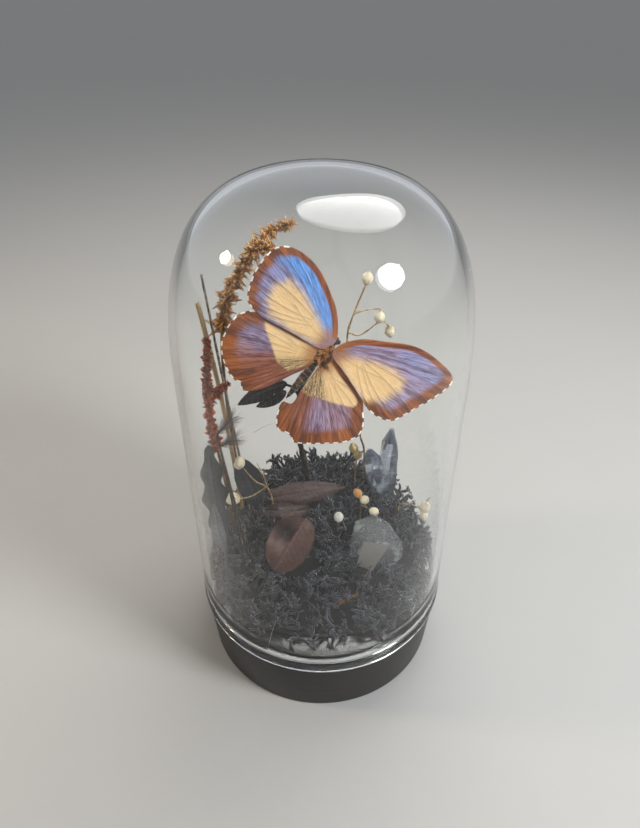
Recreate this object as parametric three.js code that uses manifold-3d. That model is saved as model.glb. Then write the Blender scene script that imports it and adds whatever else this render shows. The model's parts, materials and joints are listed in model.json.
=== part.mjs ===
// A dried butterfly over a bed of black moss, dried flowers, dark leaves and quartz,
// under a clear glass dome on a round black base.
// Millimetres, +Z up. The origin is the centre of the base's underside, and -Y is the front.

import * as THREE from "three";
import { ConvexGeometry } from "three/addons/geometries/ConvexGeometry.js";
import { mergeVertices } from "three/addons/utils/BufferGeometryUtils.js";
import Module from "manifold-3d";

const wasm = await Module();
wasm.setup();

// Driving dimensions of the case
const GAP = 0.3; // between pieces that touch
const BASE_FOOT_RADIUS = 47.7;
const BASE_TOP_RADIUS = 49.6;
const BASE_HEIGHT = 25;
const BASE_EDGE = 1; // rounded edges of the turned wood
const FLOOR_RADIUS = 45.6; // raised floor inside the dome
const FLOOR_RISE = 3;
const GLASS_RADIUS = 50;
const GLASS_WALL = 2.4;
const GLASS_STRAIGHT = 95.7; // height of the straight wall
const GLASS_CROWN = 73; // height of the domed top
const CROWN_SHOULDER = 3.21; // how late the crown turns inwards
const CROWN_ROUNDNESS = 2.97; // how full the crown's top is
const RIM_HEIGHT = 4.3;
const RIM_SWELL_OUT = 0.4;
const RIM_SWELL_IN = 1.1;
const ROUND_SIDES = 32;

// Driving dimensions of the moss
const MOSS_RADIUS = 44.8;
const MOSS_FRONT_INSET = 7; // the bare floor in front of the moss
const MOSS_MIDDLE = 42.5; // height of the slope above the origin, on the axis
const MOSS_SLOPE = 0.34; // rise from front to back
const MOSS_CROWN = 4;
const MOSS_SIDE_RISE = 4;
const MOSS_LUMP = 0.9;

// Driving dimensions of the butterfly
const THORAX = new THREE.Vector3(1.8, 0, 135.3);
const LEAN_BACK = THREE.MathUtils.degToRad(29.7); // of the plane that the wings spread in
const BODY_TURN = THREE.MathUtils.degToRad(42.9); // of the tail, from straight down to the left
const LEFT_WINGS_RAISED = THREE.MathUtils.degToRad(30);
const RIGHT_WINGS_RAISED = THREE.MathUtils.degToRad(6);
const WING_THICKNESS = 0.5;
const FOREWING_LIFT = 0.5; // forewings lie over the hindwings
const HINDWING_DROP = -0.5;
const BODY_DROP = -0.9; // the body hangs below the wings' plane
const BODY_CLEARANCE = GAP + 0.05; // of the wings and the twig to the body

const GOLDEN_ANGLE = Math.PI * (3 - Math.sqrt(5));
const FLOOR_LEVEL = BASE_HEIGHT + FLOOR_RISE;
const GLASS_FOOT = BASE_HEIGHT + GAP;

const scene = new THREE.Group();

function V(x, y, z) {
  return new THREE.Vector3(x, y, z);
}

// A closed geometry as a solid for joining and cutting, with its faces turned outwards.
function solid(geometry) {
  const bare = new THREE.BufferGeometry();
  bare.setAttribute("position", geometry.getAttribute("position").clone());
  bare.setIndex(geometry.index);
  const merged = mergeVertices(bare, 1e-4);
  const corners = merged.index.array;
  const kept = [];
  for (let i = 0; i < corners.length; i += 3) {
    const [a, b, c] = [corners[i], corners[i + 1], corners[i + 2]];
    if (a !== b && b !== c && a !== c) kept.push(a, b, c);
  }
  const vertProperties = new Float32Array(merged.getAttribute("position").array);
  const build = (triVerts) =>
    new wasm.Manifold(new wasm.Mesh({ numProp: 3, vertProperties, triVerts }));
  const made = build(new Uint32Array(kept));
  return made.volume() < 0 ? build(new Uint32Array(kept.reverse())) : made;
}

function geometryOf(body) {
  const mesh = body.getMesh();
  const geometry = new THREE.BufferGeometry();
  geometry.setAttribute("position", new THREE.BufferAttribute(mesh.vertProperties, 3));
  geometry.setIndex(new THREE.BufferAttribute(mesh.triVerts, 1));
  geometry.computeVertexNormals();
  return geometry;
}

function join(bodies) {
  return bodies.reduce((whole, body) => whole.add(body));
}

function add(parent, name, body, color, roughness, metalness = 0) {
  const material = new THREE.MeshStandardMaterial({ color, roughness, metalness });
  const mesh = new THREE.Mesh(geometryOf(body), material);
  mesh.name = name;
  parent.add(mesh);
  return mesh;
}

function middleOf(points) {
  return points.reduce((sum, p) => sum.add(p), V(0, 0, 0)).divideScalar(points.length);
}

// A closed skin over rings with equal counts of points; a fan to one point closes each end.
function skin(rings, ends = [middleOf(rings[0]), middleOf(rings[rings.length - 1])]) {
  const count = rings[0].length;
  const points = [...rings.flat(), ...ends];
  const [first, last] = [points.length - 2, points.length - 1];
  const faces = [];
  for (let r = 0; r < rings.length - 1; r++) {
    for (let i = 0; i < count; i++) {
      const j = (i + 1) % count;
      const [a, b] = [r * count + i, r * count + j];
      faces.push(a, b, b + count, a, b + count, a + count);
    }
  }
  const top = (rings.length - 1) * count;
  for (let i = 0; i < count; i++) {
    const j = (i + 1) % count;
    faces.push(first, j, i, last, top + i, top + j);
  }
  const geometry = new THREE.BufferGeometry().setFromPoints(points);
  geometry.setIndex(faces);
  return solid(geometry);
}

// A round stem along a curve that passes through the points, tapering from one end to the other.
function stem(points, startRadius, endRadius, sides = 6, steps = points.length * 3) {
  const curve = new THREE.CatmullRomCurve3(points);
  const frames = curve.computeFrenetFrames(steps);
  const rings = [];
  for (let k = 0; k <= steps; k++) {
    const at = curve.getPointAt(k / steps);
    const radius = THREE.MathUtils.lerp(startRadius, endRadius, k / steps);
    const ring = [];
    for (let i = 0; i < sides; i++) {
      const turn = (2 * Math.PI * i) / sides;
      ring.push(
        at
          .clone()
          .addScaledVector(frames.normals[k], radius * Math.cos(turn))
          .addScaledVector(frames.binormals[k], radius * Math.sin(turn)),
      );
    }
    rings.push(ring);
  }
  return skin(rings);
}

// Rings of a drop: share of its length, share of its radius
const BUD_RINGS = [
  [0.12, 0.7],
  [0.5, 1],
  [0.85, 0.5],
];
const FLORET_RINGS = [[0.45, 1]];

// A drop that stands on its pointed foot and ends in a tip along a direction.
function drop(foot, direction, length, radius, sides = 5, widths = BUD_RINGS) {
  const along = direction.clone().normalize();
  const turn = new THREE.Quaternion().setFromUnitVectors(V(0, 0, 1), along);
  const rings = widths.map(([height, width]) => {
    const ring = [];
    for (let i = 0; i < sides; i++) {
      const angle = (2 * Math.PI * i) / sides;
      const spread = radius * width;
      const local = V(spread * Math.cos(angle), spread * Math.sin(angle), height * length);
      ring.push(local.applyQuaternion(turn).add(foot));
    }
    return ring;
  });
  return skin(rings, [foot, foot.clone().addScaledVector(along, length)]);
}

// A leaf along its midrib: width gives its share of the half width, cup bends the edges up,
// ruffle waves them, and grow makes the room that the leaf lies in.
function leaf({ midrib, face, halfWidth, width, cup = 0, thickness = 0.6, grow = 0, ruffle = 0 }) {
  const steps = 6;
  const across = 4;
  const curve = new THREE.CatmullRomCurve3(midrib);
  const rings = [];
  for (let k = 0; k <= steps; k++) {
    const t = k / steps;
    const at = curve.getPoint(t);
    const along = curve.getTangent(t);
    const side = along.clone().cross(face).normalize();
    const up = side.clone().cross(along).normalize();
    if (k === 0) at.addScaledVector(along, -grow);
    if (k === steps) at.addScaledVector(along, grow);
    const half = halfWidth * width(t) + grow;
    const ring = [];
    const place = (v, level) => {
      const bend = cup * half * v * v + ruffle * Math.sin(9 * t + 2 * v) * Math.abs(v);
      return at
        .clone()
        .addScaledVector(side, half * v)
        .addScaledVector(up, bend + level);
    };
    for (let i = 0; i <= across; i++) {
      const v = (2 * i) / across - 1;
      ring.push(place(v, (thickness / 2) * (1 - 0.5 * v * v) + grow));
    }
    for (let i = across; i >= 0; i--) {
      const v = (2 * i) / across - 1;
      ring.push(place(v, -(thickness / 2) * (1 - 0.5 * v * v) - grow));
    }
    rings.push(ring);
  }
  return skin(rings);
}

// Pockets in the moss for the pieces that stand or lie in it
const POCKET_ROOM = GAP + 0.25;
const POCKET_DEPTH = 16;
const pockets = [];

function pocketForStem(points, radius) {
  const [foot, next] = points;
  const along = next.clone().sub(foot).normalize();
  const low = foot.clone().addScaledVector(along, -GAP);
  const high = foot.clone().addScaledVector(along, POCKET_DEPTH);
  pockets.push(stem([low, high], radius + POCKET_ROOM, radius + POCKET_ROOM, 5, 1));
}

// Case

function makeBase() {
  const foot = BASE_FOOT_RADIUS;
  const top = BASE_TOP_RADIUS;
  const profile = [
    [0, 0],
    [foot - BASE_EDGE, 0],
    [foot, BASE_EDGE],
    [top, BASE_HEIGHT - BASE_EDGE],
    [top - 0.3 * BASE_EDGE, BASE_HEIGHT - 0.3 * BASE_EDGE],
    [top - BASE_EDGE, BASE_HEIGHT],
    [FLOOR_RADIUS, BASE_HEIGHT],
    [FLOOR_RADIUS, FLOOR_LEVEL - 0.5],
    [FLOOR_RADIUS - 0.5, FLOOR_LEVEL],
    [0, FLOOR_LEVEL],
  ].map(([r, z]) => new THREE.Vector2(r, z));
  const turned = new THREE.LatheGeometry(profile, ROUND_SIDES).rotateX(Math.PI / 2);
  add(scene, "base", solid(turned), 0x0b0a0a, 0.45);
}

// Radius of the crown at a share of its height, for a wall that stands in by some distance
function crown(share, inset) {
  const fall = (1 - share ** CROWN_SHOULDER) ** (1 / CROWN_ROUNDNESS);
  return (GLASS_RADIUS - inset) * fall;
}

function makeGlass() {
  const wallTop = GLASS_FOOT + GLASS_STRAIGHT;
  const shares = [0, 0.45, 0.7, 0.86, 0.95, 0.992];
  const outer = shares.map((s) => [crown(s, 0), wallTop + s * GLASS_CROWN]);
  outer.push([0, wallTop + GLASS_CROWN]);
  const inner = shares.map((s) => [
    crown(s, GLASS_WALL),
    wallTop + s * (GLASS_CROWN - GLASS_WALL),
  ]);
  inner.push([0, wallTop + GLASS_CROWN - GLASS_WALL]);
  const inside = GLASS_RADIUS - GLASS_WALL;
  const rim = [
    [inside, GLASS_FOOT + RIM_HEIGHT],
    [inside - RIM_SWELL_IN, GLASS_FOOT + 0.5 * RIM_HEIGHT],
    [inside - 0.5 * RIM_SWELL_IN, GLASS_FOOT],
    [GLASS_RADIUS - 0.5, GLASS_FOOT],
    [GLASS_RADIUS + RIM_SWELL_OUT, GLASS_FOOT + 0.25 * RIM_HEIGHT],
    [GLASS_RADIUS + RIM_SWELL_OUT, GLASS_FOOT + 0.6 * RIM_HEIGHT],
    [GLASS_RADIUS, GLASS_FOOT + RIM_HEIGHT],
  ];
  const profile = [...inner.reverse(), ...rim, ...outer].map(([r, z]) => new THREE.Vector2(r, z));
  const blown = new THREE.LatheGeometry(profile, ROUND_SIDES).rotateX(Math.PI / 2);
  add(scene, "glass_dome", solid(blown), 0xeef3f2, 0.02);
}

// Moss

function mossEdge(angle) {
  const front = Math.max(0, -Math.sin(angle));
  return MOSS_RADIUS - MOSS_FRONT_INSET * front ** 3;
}

function mossHeight(x, y) {
  const share = Math.hypot(x, y) / MOSS_RADIUS;
  const lumps = Math.sin(0.31 * x + 1.3) * Math.cos(0.37 * y) + Math.sin(0.53 * x - 0.41 * y);
  return (
    MOSS_MIDDLE +
    MOSS_SLOPE * y +
    MOSS_CROWN * (1 - share ** 2) +
    MOSS_SIDE_RISE * (x / MOSS_RADIUS) ** 2 +
    MOSS_LUMP * lumps
  );
}

function makeMoss() {
  const sides = 32;
  const foot = FLOOR_LEVEL + GAP;
  const levels = [
    [0.965, 0],
    [1, 0.2],
    [1, 0.65],
    [0.93, 1],
    [0.74, 1],
    [0.52, 1],
    [0.3, 1],
  ];
  const rings = levels.map(([reach, rise]) => {
    const ring = [];
    for (let i = 0; i < sides; i++) {
      const angle = (2 * Math.PI * i) / sides;
      const scallop = 1 + 0.012 * Math.sin(9 * angle) + 0.008 * Math.sin(16 * angle + 1);
      const r = mossEdge(angle) * reach * (reach > 0.9 ? scallop : 1);
      const [x, y] = [r * Math.cos(angle), r * Math.sin(angle)];
      ring.push(V(x, y, THREE.MathUtils.lerp(foot, mossHeight(x, y), rise)));
    }
    return ring;
  });
  let bed = skin(rings);
  for (const pocket of pockets) bed = bed.subtract(pocket);
  const largest = bed.decompose().sort((a, b) => b.volume() - a.volume())[0];
  add(scene, "moss_bed", largest, 0x16171c, 0.95);
}

// Butterfly

const FOREWING_LEFT = [
  [1.6, -6.5],
  [7.8, -11.6],
  [14.7, -14.6],
  [22.8, -17],
  [29.9, -16.9],
  [35.1, -15.1],
  [37.9, -12],
  [38.4, -8],
  [37.8, -2.8],
  [36.2, 1.5],
  [34, 5],
  [31, 6.3],
  [24.7, 6],
  [13.8, 3.5],
  [3.5, 1.4],
  [0.2, -2.5],
];
const HINDWING_LEFT = [
  [2, 1.5],
  [13, 3.4],
  [24.7, 6],
  [28.8, 6.5],
  [31.6, 9.9],
  [32.2, 13.6],
  [31.4, 17.5],
  [29.8, 21],
  [26.5, 24.2],
  [21.7, 26.7],
  [17.7, 27.6],
  [15.4, 27],
  [12.9, 28.6],
  [8.7, 24.7],
  [5.8, 19.7],
  [3.2, 13.7],
  [1, 8.8],
];
const FOREWING_RIGHT = [
  [1.8, -3.7],
  [4, -8.2],
  [7.4, -11.9],
  [12, -15.2],
  [18.8, -20],
  [24.6, -22.3],
  [31.2, -23],
  [36, -22.7],
  [38.2, -21],
  [38.2, -17.5],
  [37, -12],
  [35.3, -6.6],
  [33.5, -0.8],
  [32, 2.4],
  [28.3, 4.5],
  [23.1, 4.9],
  [16, 3],
  [8.4, 1.2],
  [2.6, 0.2],
];
const HINDWING_RIGHT = [
  [1.6, 0.6],
  [10, 1.6],
  [19.1, 3.5],
  [23.4, 7],
  [26.2, 10],
  [27.4, 13.6],
  [26.4, 16.6],
  [24.3, 20],
  [17.4, 27],
  [12.9, 30.4],
  [10.3, 29.6],
  [8.3, 30],
  [6.1, 31],
  [3.7, 29.6],
  [1.4, 26.1],
  [0.7, 22.9],
  [3.4, 21],
  [2.4, 15],
  [1.6, 7],
];

// The body's own frame: x towards the left wings, y towards the tail, z out of its back.
function butterflyFrame() {
  const back = V(0, -Math.cos(LEAN_BACK), Math.sin(LEAN_BACK));
  const rise = V(0, Math.sin(LEAN_BACK), Math.cos(LEAN_BACK));
  const right = V(1, 0, 0);
  const tail = right
    .clone()
    .multiplyScalar(-Math.sin(BODY_TURN))
    .addScaledVector(rise, -Math.cos(BODY_TURN));
  return new THREE.Matrix4().makeBasis(tail.clone().cross(back), tail, back).setPosition(THORAX);
}

function bodySolid(grow) {
  const stations = [
    [-5.9, 0.5],
    [-5.2, 1.4],
    [-4, 1.5],
    [-3.2, 1.1],
    [-2, 2.1],
    [1, 2.6],
    [4.2, 2.3],
    [6.4, 1.3],
    [8.5, 1.7],
    [12, 1.9],
    [16, 1.6],
    [19.5, 1],
    [21.5, 0.4],
  ];
  const sides = 8;
  const rings = stations.map(([y, radius], k) => {
    const end = k === 0 ? -grow : k === stations.length - 1 ? grow : 0;
    const bow = -0.05 * Math.max(0, y - 6);
    const ring = [];
    for (let i = 0; i < sides; i++) {
      const angle = (2 * Math.PI * i) / sides;
      const r = radius + grow;
      ring.push(V(bow + r * Math.cos(angle), y + end, BODY_DROP + bow + 1.05 * r * Math.sin(angle)));
    }
    return ring;
  });
  return skin(rings);
}

// Six thin legs folded under the thorax
function legSolids() {
  const legs = [];
  for (const side of [-1, 1]) {
    for (const [hip, reach] of [
      [-1.6, -3],
      [0.8, 0.6],
      [3, 4.6],
    ]) {
      const root = V(side * 0.8, hip, BODY_DROP - 1.6);
      const knee = V(side * 3.1, hip + 0.4 * reach, BODY_DROP - 3.6);
      const toe = V(side * 1.7, hip + reach, BODY_DROP - 5.2);
      legs.push(stem([root, knee, toe], 0.36, 0.22, 3, 3));
    }
  }
  return legs;
}

function wingSolid(outline, side) {
  const shape = new THREE.Shape();
  const points = outline.map(([x, y]) => new THREE.Vector2(side * x, y));
  const [start, ...rest] = points;
  shape.moveTo(start.x, start.y);
  shape.splineThru([...rest, start]);
  return solid(
    new THREE.ExtrudeGeometry(shape, {
      depth: WING_THICKNESS,
      curveSegments: 2,
      bevelEnabled: false,
    }).translate(0, 0, -WING_THICKNESS / 2),
  );
}

function makeButterfly() {
  const frame = butterflyFrame();
  const butterfly = new THREE.Group();
  frame.decompose(butterfly.position, butterfly.quaternion, butterfly.scale);
  scene.add(butterfly);
  const body = join([
    bodySolid(0),
    drop(V(-0.9, -4.7, BODY_DROP + 0.5), V(-0.6, -0.5, 0.5), 1.5, 0.9, 6),
    drop(V(0.9, -4.7, BODY_DROP + 0.5), V(0.6, -0.5, 0.5), 1.5, 0.9, 6),
    ...legSolids(),
  ]);
  add(butterfly, "butterfly_body", body, 0x2a1d16, 0.85);
  const wings = [
    ["forewing_left", FOREWING_LEFT, 1, -LEFT_WINGS_RAISED, FOREWING_LIFT],
    ["hindwing_left", HINDWING_LEFT, 1, -LEFT_WINGS_RAISED, HINDWING_DROP],
    ["forewing_right", FOREWING_RIGHT, -1, RIGHT_WINGS_RAISED, FOREWING_LIFT],
    ["hindwing_right", HINDWING_RIGHT, -1, RIGHT_WINGS_RAISED, HINDWING_DROP],
  ];
  for (const [name, outline, side, tilt, lift] of wings) {
    const hinge = new THREE.Group();
    hinge.rotation.y = tilt;
    butterfly.add(hinge);
    const pose = new THREE.Matrix4()
      .makeRotationY(tilt)
      .multiply(new THREE.Matrix4().makeTranslation(0, 0, lift));
    const clear = bodySolid(BODY_CLEARANCE).transform(pose.clone().invert().toArray());
    const blade = wingSolid(outline, side).subtract(clear);
    const largest = blade.decompose().sort((a, b) => b.volume() - a.volume())[0];
    const wing = add(hinge, name, largest, 0x9a6a48, 0.6);
    wing.position.z = lift;
  }
  return frame;
}

function makeTwig(frame) {
  const twigPoints = [
    V(-6, 23, 43),
    V(-6.2, 22.8, 60),
    V(-9, 18, 84),
    V(-8.6, 12.4, 108),
    V(-4, 7.5, 123),
    V(1.9, 2.2, 134),
  ];
  const fork = [V(-8.6, 12.2, 109), V(-11, 10.2, 114), V(-12.6, 8.8, 115.6)];
  const whole = join([stem(twigPoints, 1.3, 0.8, 6, 12), stem(fork, 0.7, 0.45, 4, 3)]);
  const clear = bodySolid(BODY_CLEARANCE).transform(frame.toArray());
  const cut = whole.subtract(clear);
  const largest = cut.decompose().sort((a, b) => b.volume() - a.volume())[0];
  add(scene, "support_twig", largest, 0x191412, 0.9);
  pocketForStem(twigPoints, 1.3);
}

const pointed = (t) => 0.06 + 0.94 * Math.sin(Math.PI * Math.min(1, t ** 0.8)) ** 0.8;
const broad = (t) => 0.12 + 0.88 * Math.sin(Math.PI * t) ** 0.5;
const lobed = (t) => 0.1 + Math.sin(Math.PI * t) ** 0.6 * (0.78 + 0.2 * Math.cos(25 * t));
const plume = (t) => 0.06 + 0.94 * t ** 0.7 * (1 - 0.55 * t ** 4);

function makeTwigLeaves() {
  const facing = V(0.1, -0.75, 0.65);
  const upper = leaf({
    midrib: [V(-12.9, 8, 117.2), V(-19.5, 8.2, 114.6), V(-26, 8, 111), V(-31.7, 8, 107.4)],
    face: facing,
    halfWidth: 3.3,
    width: pointed,
    cup: -0.25,
  });
  add(scene, "twig_leaf_upper", upper, 0x2a2220, 0.75);
  const lower = leaf({
    midrib: [V(-13.2, 7.3, 113.8), V(-17.5, 7, 111.2), V(-21, 7, 109), V(-24.6, 7, 107.3)],
    face: facing,
    halfWidth: 2.4,
    width: pointed,
    cup: -0.25,
  });
  add(scene, "twig_leaf_lower", lower, 0x241d1b, 0.75);
}

// Dried flower spikes

// Small pointed florets set round a stem by the golden angle, leaning towards its tip
function florets(points, { from, count, length, radius, lean, start }) {
  const curve = new THREE.CatmullRomCurve3(points);
  const made = [];
  for (let k = 0; k < count; k++) {
    const t = from + ((1 - from) * k) / (count - 1);
    const along = curve.getTangentAt(t);
    const at = curve.getPointAt(t).addScaledVector(along, -0.4);
    const out = V(0, 0, 1).cross(along).normalize().applyAxisAngle(along, start + k * GOLDEN_ANGLE);
    const direction = out.addScaledVector(along, lean);
    const reach = length * (0.8 + 0.25 * Math.sin(2.3 * k)) * (1 - 0.35 * t ** 3);
    made.push(drop(at, direction, reach, radius, 3, FLORET_RINGS));
  }
  return made;
}

function makeSpikes() {
  const golden = [
    V(-34, 18, 44),
    V(-35.2, 17.6, 62),
    V(-37, 16, 95),
    V(-36.5, 14, 128),
    V(-33.5, 12.5, 146),
    V(-28.5, 13, 156),
    V(-23.5, 15.5, 164),
    V(-17.5, 18.5, 169.6),
    V(-10, 20, 172.4),
  ];
  const sideShoot = [V(-23.5, 15.5, 164), V(-20.5, 14.5, 166), V(-16.6, 13.6, 165.6)];
  const sideFlorets = { from: 0.3, count: 6, length: 4.4, radius: 1, lean: 0.9, start: 1 };
  const goldenFlorets = { from: 0.72, count: 25, length: 5, radius: 1.1, lean: 0.7, start: 0 };
  const upper = join([
    stem(golden, 0.85, 0.4, 5, 18),
    stem(sideShoot, 0.45, 0.3, 4, 3),
    ...florets(golden, goldenFlorets),
    ...florets(sideShoot, sideFlorets),
  ]);
  add(scene, "flower_spike_golden", upper, 0x9a6427, 0.85);
  pocketForStem(golden, 0.85);

  const rust = [
    V(-37.5, 6, 44),
    V(-38.2, 5.6, 62),
    V(-40.6, 3.6, 92),
    V(-41.4, 2.4, 106),
    V(-41, 2.6, 122),
    V(-39.2, 3.4, 137.5),
  ];
  const rustShoot = [V(-41.2, 2.7, 113), V(-38, 4.2, 116), V(-34.4, 5.2, 118.6)];
  const rustFlorets = { from: 0.58, count: 21, length: 3.8, radius: 1, lean: 0.6, start: 2 };
  const shootFlorets = { from: 0.35, count: 7, length: 3.9, radius: 1, lean: 0.7, start: 0.5 };
  const lower = join([
    stem(rust, 0.8, 0.4, 5, 14),
    stem(rustShoot, 0.45, 0.3, 4, 3),
    ...florets(rust, rustFlorets),
    ...florets(rustShoot, shootFlorets),
  ]);
  add(scene, "flower_spike_rust", lower, 0x7c2f18, 0.85);
  pocketForStem(rust, 0.8);
}

// Pale sticks and dark tufts

function makeSticks() {
  const straw = [V(-35, 14.5, 44), V(-35.4, 14.2, 60), V(-38.5, 11.5, 110), V(-42, 7, 149.5)];
  const bore = stem([V(-41.6, 7.5, 145), V(-42.1, 6.9, 151)], 0.5, 0.5, 6, 1);
  add(scene, "straw", stem(straw, 0.9, 0.9, 8, 8).subtract(bore), 0xb49a6c, 0.7);
  pocketForStem(straw, 0.9);
  const stick = [V(-31.5, 12, 44), V(-31.9, 12, 62), V(-36.6, 9, 120), V(-39.5, 6.6, 160)];
  add(scene, "thin_stick", stem(stick, 0.6, 0.5, 6, 8), 0x9c9181, 0.7);
  pocketForStem(stick, 0.6);
}

function makeTufts() {
  const stalks = [
    ["tuft_upper", [V(-33, -6.5, 41), V(-33.6, -6.2, 58), V(-38.6, -1.4, 101)], V(-28, -0.5, 110.5)],
    ["tuft_lower", [V(-30.5, -10, 39), V(-31, -9.7, 56), V(-37.6, -3.6, 97)], V(-28, -3.6, 100.5)],
  ];
  for (const [name, stalk, tip] of stalks) {
    const root = stalk[2];
    const middle = root.clone().lerp(tip, 0.5).add(V(0, 0, 1.2));
    const fan = leaf({
      midrib: [root, middle, tip],
      face: V(0.1, -0.8, 0.6),
      halfWidth: 3.6,
      width: plume,
      thickness: 0.9,
    });
    add(scene, name, join([stem(stalk, 0.5, 0.4, 5, 7), fan]), 0x2b2422, 0.95);
    pocketForStem(stalk, 0.5);
  }
}

// Dark leaves that stand at the left wall

function makeStandingLeaves() {
  const standing = [
    ["lobed_leaf", [V(-38.2, -12.6, 54), V(-41.6, -6, 76), V(-42.4, -3, 97)], 5.2, lobed, 0x131417],
    ["grey_leaf", [V(-37.8, -15.5, 55), V(-39.8, -14.4, 66), V(-40.4, -13, 77)], 2.6, pointed, 0x4a4a4c],
    ["black_leaf", [V(-27, 10, 55), V(-30, 9, 69), V(-33.6, 8, 81)], 5.6, broad, 0x1e1f21],
  ];
  const feet = {
    lobed_leaf: V(-38, -13, 38),
    grey_leaf: V(-37.6, -16, 37.5),
    black_leaf: V(-26.6, 10.2, 43),
  };
  for (const [name, midrib, halfWidth, width, color] of standing) {
    const blade = leaf({
      midrib,
      face: V(0.45, -0.8, 0.35),
      halfWidth,
      width,
      cup: 0.15,
      ruffle: 0.4,
    });
    const stalk = [feet[name], midrib[0].clone().addScaledVector(V(0, 0, 1), 2)];
    add(scene, name, join([blade, stem(stalk, 0.6, 0.5, 5, 3)]), color, 0.8);
    pocketForStem(stalk, 0.6);
  }
}

// Baby's breath

// A round dried bud that grows from its stem's end; size is its radius
function bud(foot, direction, size) {
  return drop(foot, direction, 2.5 * size, size, 5);
}

function makeSprigs() {
  const thick = 0.4;
  const fine = 0.3;
  const cream = 0xd9c7a0;

  const riser = [
    V(19, 31, 46),
    V(19.2, 30.6, 60),
    V(18.6, 28, 71),
    V(15.6, 20, 86),
    V(11.2, 10, 117),
    V(8.8, 5, 137),
    V(10.8, 5, 146.6),
    V(14.5, 5, 157.5),
  ];
  const upper = join([
    stem(riser, 0.5, fine, 5, 16),
    stem([V(10.8, 5, 146.6), V(15, 5, 148), V(19.6, 5, 148.4)], fine, fine, 3, 3),
    stem([V(9.3, 5, 139.4), V(13.2, 4.9, 138.6), V(19.4, 5, 143.6)], fine, fine, 3, 4),
    stem([V(19.2, 5, 143.4), V(21.4, 5, 143.4), V(23, 5, 141.6)], fine, fine, 3, 3),
    bud(V(14.4, 5, 157.2), V(0.2, 0, 1), 2),
    bud(V(19.4, 5, 143.4), V(0.05, 0, 1), 2),
    bud(V(22.9, 5, 141.8), V(0.2, 0, -1), 1.9),
  ]);
  add(scene, "babys_breath_upper", upper, cream, 0.8);
  pocketForStem(riser, 0.5);

  const leftStem = [V(-20.5, 9, 44), V(-20.8, 8.8, 60), V(-22, 4, 70.7)];
  const left = join([
    stem(leftStem, thick, fine, 5, 5),
    stem([V(-22, 4, 70.7), V(-26.6, 3, 74.6), V(-31.2, 2, 83)], fine, fine, 3, 4),
    stem([V(-22, 4, 70.7), V(-28, 3, 66.6), V(-33.4, 2, 65.6)], fine, fine, 3, 4),
    stem([V(-22, 4, 70.7), V(-23.4, 5, 76), V(-25.6, 6, 81)], fine, 0.22, 3, 3),
    bud(V(-31.1, 2, 82.8), V(-0.3, 0, 1), 2.1),
    bud(V(-31, 2.4, 82.4), V(-1, 0.3, 0.1), 1.6),
    bud(V(-33.2, 2, 65.6), V(-1, 0, 0.1), 2.8),
  ]);
  add(scene, "babys_breath_left", left, cream, 0.8);
  pocketForStem(leftStem, thick);

  const middleStem = [V(17, 11, 42), V(17, 10.9, 56), V(16.6, 11.3, 58.6)];
  const middle = join([
    stem(middleStem, thick, fine, 5, 4),
    stem([V(17, 10.9, 54), V(19.2, 8.4, 55), V(21, 6.8, 54.8)], fine, fine, 3, 3),
    bud(V(16.6, 11.3, 58.2), V(-0.7, 0.3, 1), 1.9),
    bud(V(17, 11, 57), V(0.6, -0.6, 0.5), 2),
    bud(V(20.8, 7, 54.8), V(0.5, -0.6, 0.2), 2),
  ]);
  add(scene, "babys_breath_middle", middle, cream, 0.8);
  pocketForStem(middleStem, thick);

  const singleStem = [V(7, 4.4, 40), V(7, 4.2, 53)];
  const single = join([
    stem(singleStem, thick, fine, 5, 3),
    bud(V(7, 4.2, 51.8), V(0.1, -0.2, 1), 2.1),
  ]);
  add(scene, "babys_breath_single", single, 0xe6e0cf, 0.8);
  pocketForStem(singleStem, thick);

  const ochreStem = [V(15.2, 27.5, 46), V(15.3, 27, 62), V(15.6, 25, 68), V(14.6, 24.2, 72.6)];
  const ochre = join([
    stem(ochreStem, thick, fine, 5, 7),
    bud(V(14.7, 24.3, 72), V(-0.4, 0, 1), 2.1),
    bud(V(15.3, 25.4, 67.6), V(0.25, -0.1, 0.8), 2),
  ]);
  add(scene, "babys_breath_ochre", ochre, 0x9c8a62, 0.85);
  pocketForStem(ochreStem, thick);

  const clusterStem = [
    V(33, 9, 41),
    V(33, 9, 50),
    V(33.5, 8.2, 57),
    V(37, 2.6, 62),
    V(41, -3, 64.4),
  ];
  const cluster = join([
    stem(clusterStem, thick, fine, 5, 8),
    bud(V(40.9, -2.9, 64.4), V(0.2, -0.4, 1), 2.3),
    bud(V(40.9, -2.9, 64.4), V(0.1, -0.8, -0.7), 1.9),
    drop(V(40.9, -2.9, 64.4), V(0.4, 0.3, 1), 6.4, 1.1, 4),
  ]);
  add(scene, "babys_breath_cluster", cluster, 0xd8cdb0, 0.8);
  pocketForStem(clusterStem, thick);
}

// Quartz

// A six-sided crystal from its foot to its tip, with a pyramid on the tip
function crystal(foot, tip, radius, footShare, pyramid) {
  const axis = tip.clone().sub(foot);
  const length = axis.length();
  const turn = new THREE.Quaternion().setFromUnitVectors(V(0, 0, 1), axis.clone().normalize());
  const points = [];
  for (let i = 0; i < 6; i++) {
    const angle = (Math.PI * i) / 3 + 0.35;
    const skew = 1 + 0.16 * Math.cos(2 * angle + 1);
    for (const [height, share] of [
      [0, footShare],
      [0.3 * length, 1],
      [length - pyramid * (1 + 0.25 * Math.sin(3 * i)), 0.86],
      [length, 0.2],
    ]) {
      const r = radius * skew * share;
      points.push(V(r * Math.cos(angle), r * Math.sin(angle), height));
    }
  }
  return points.map((p) => p.applyQuaternion(turn).add(foot));
}

function hull(points, grow = 0) {
  const middle = middleOf(points);
  const spread = points.map((p) => {
    const out = p.clone().sub(middle);
    return p.clone().addScaledVector(out, grow / 4);
  });
  return solid(new ConvexGeometry(spread));
}

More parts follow.
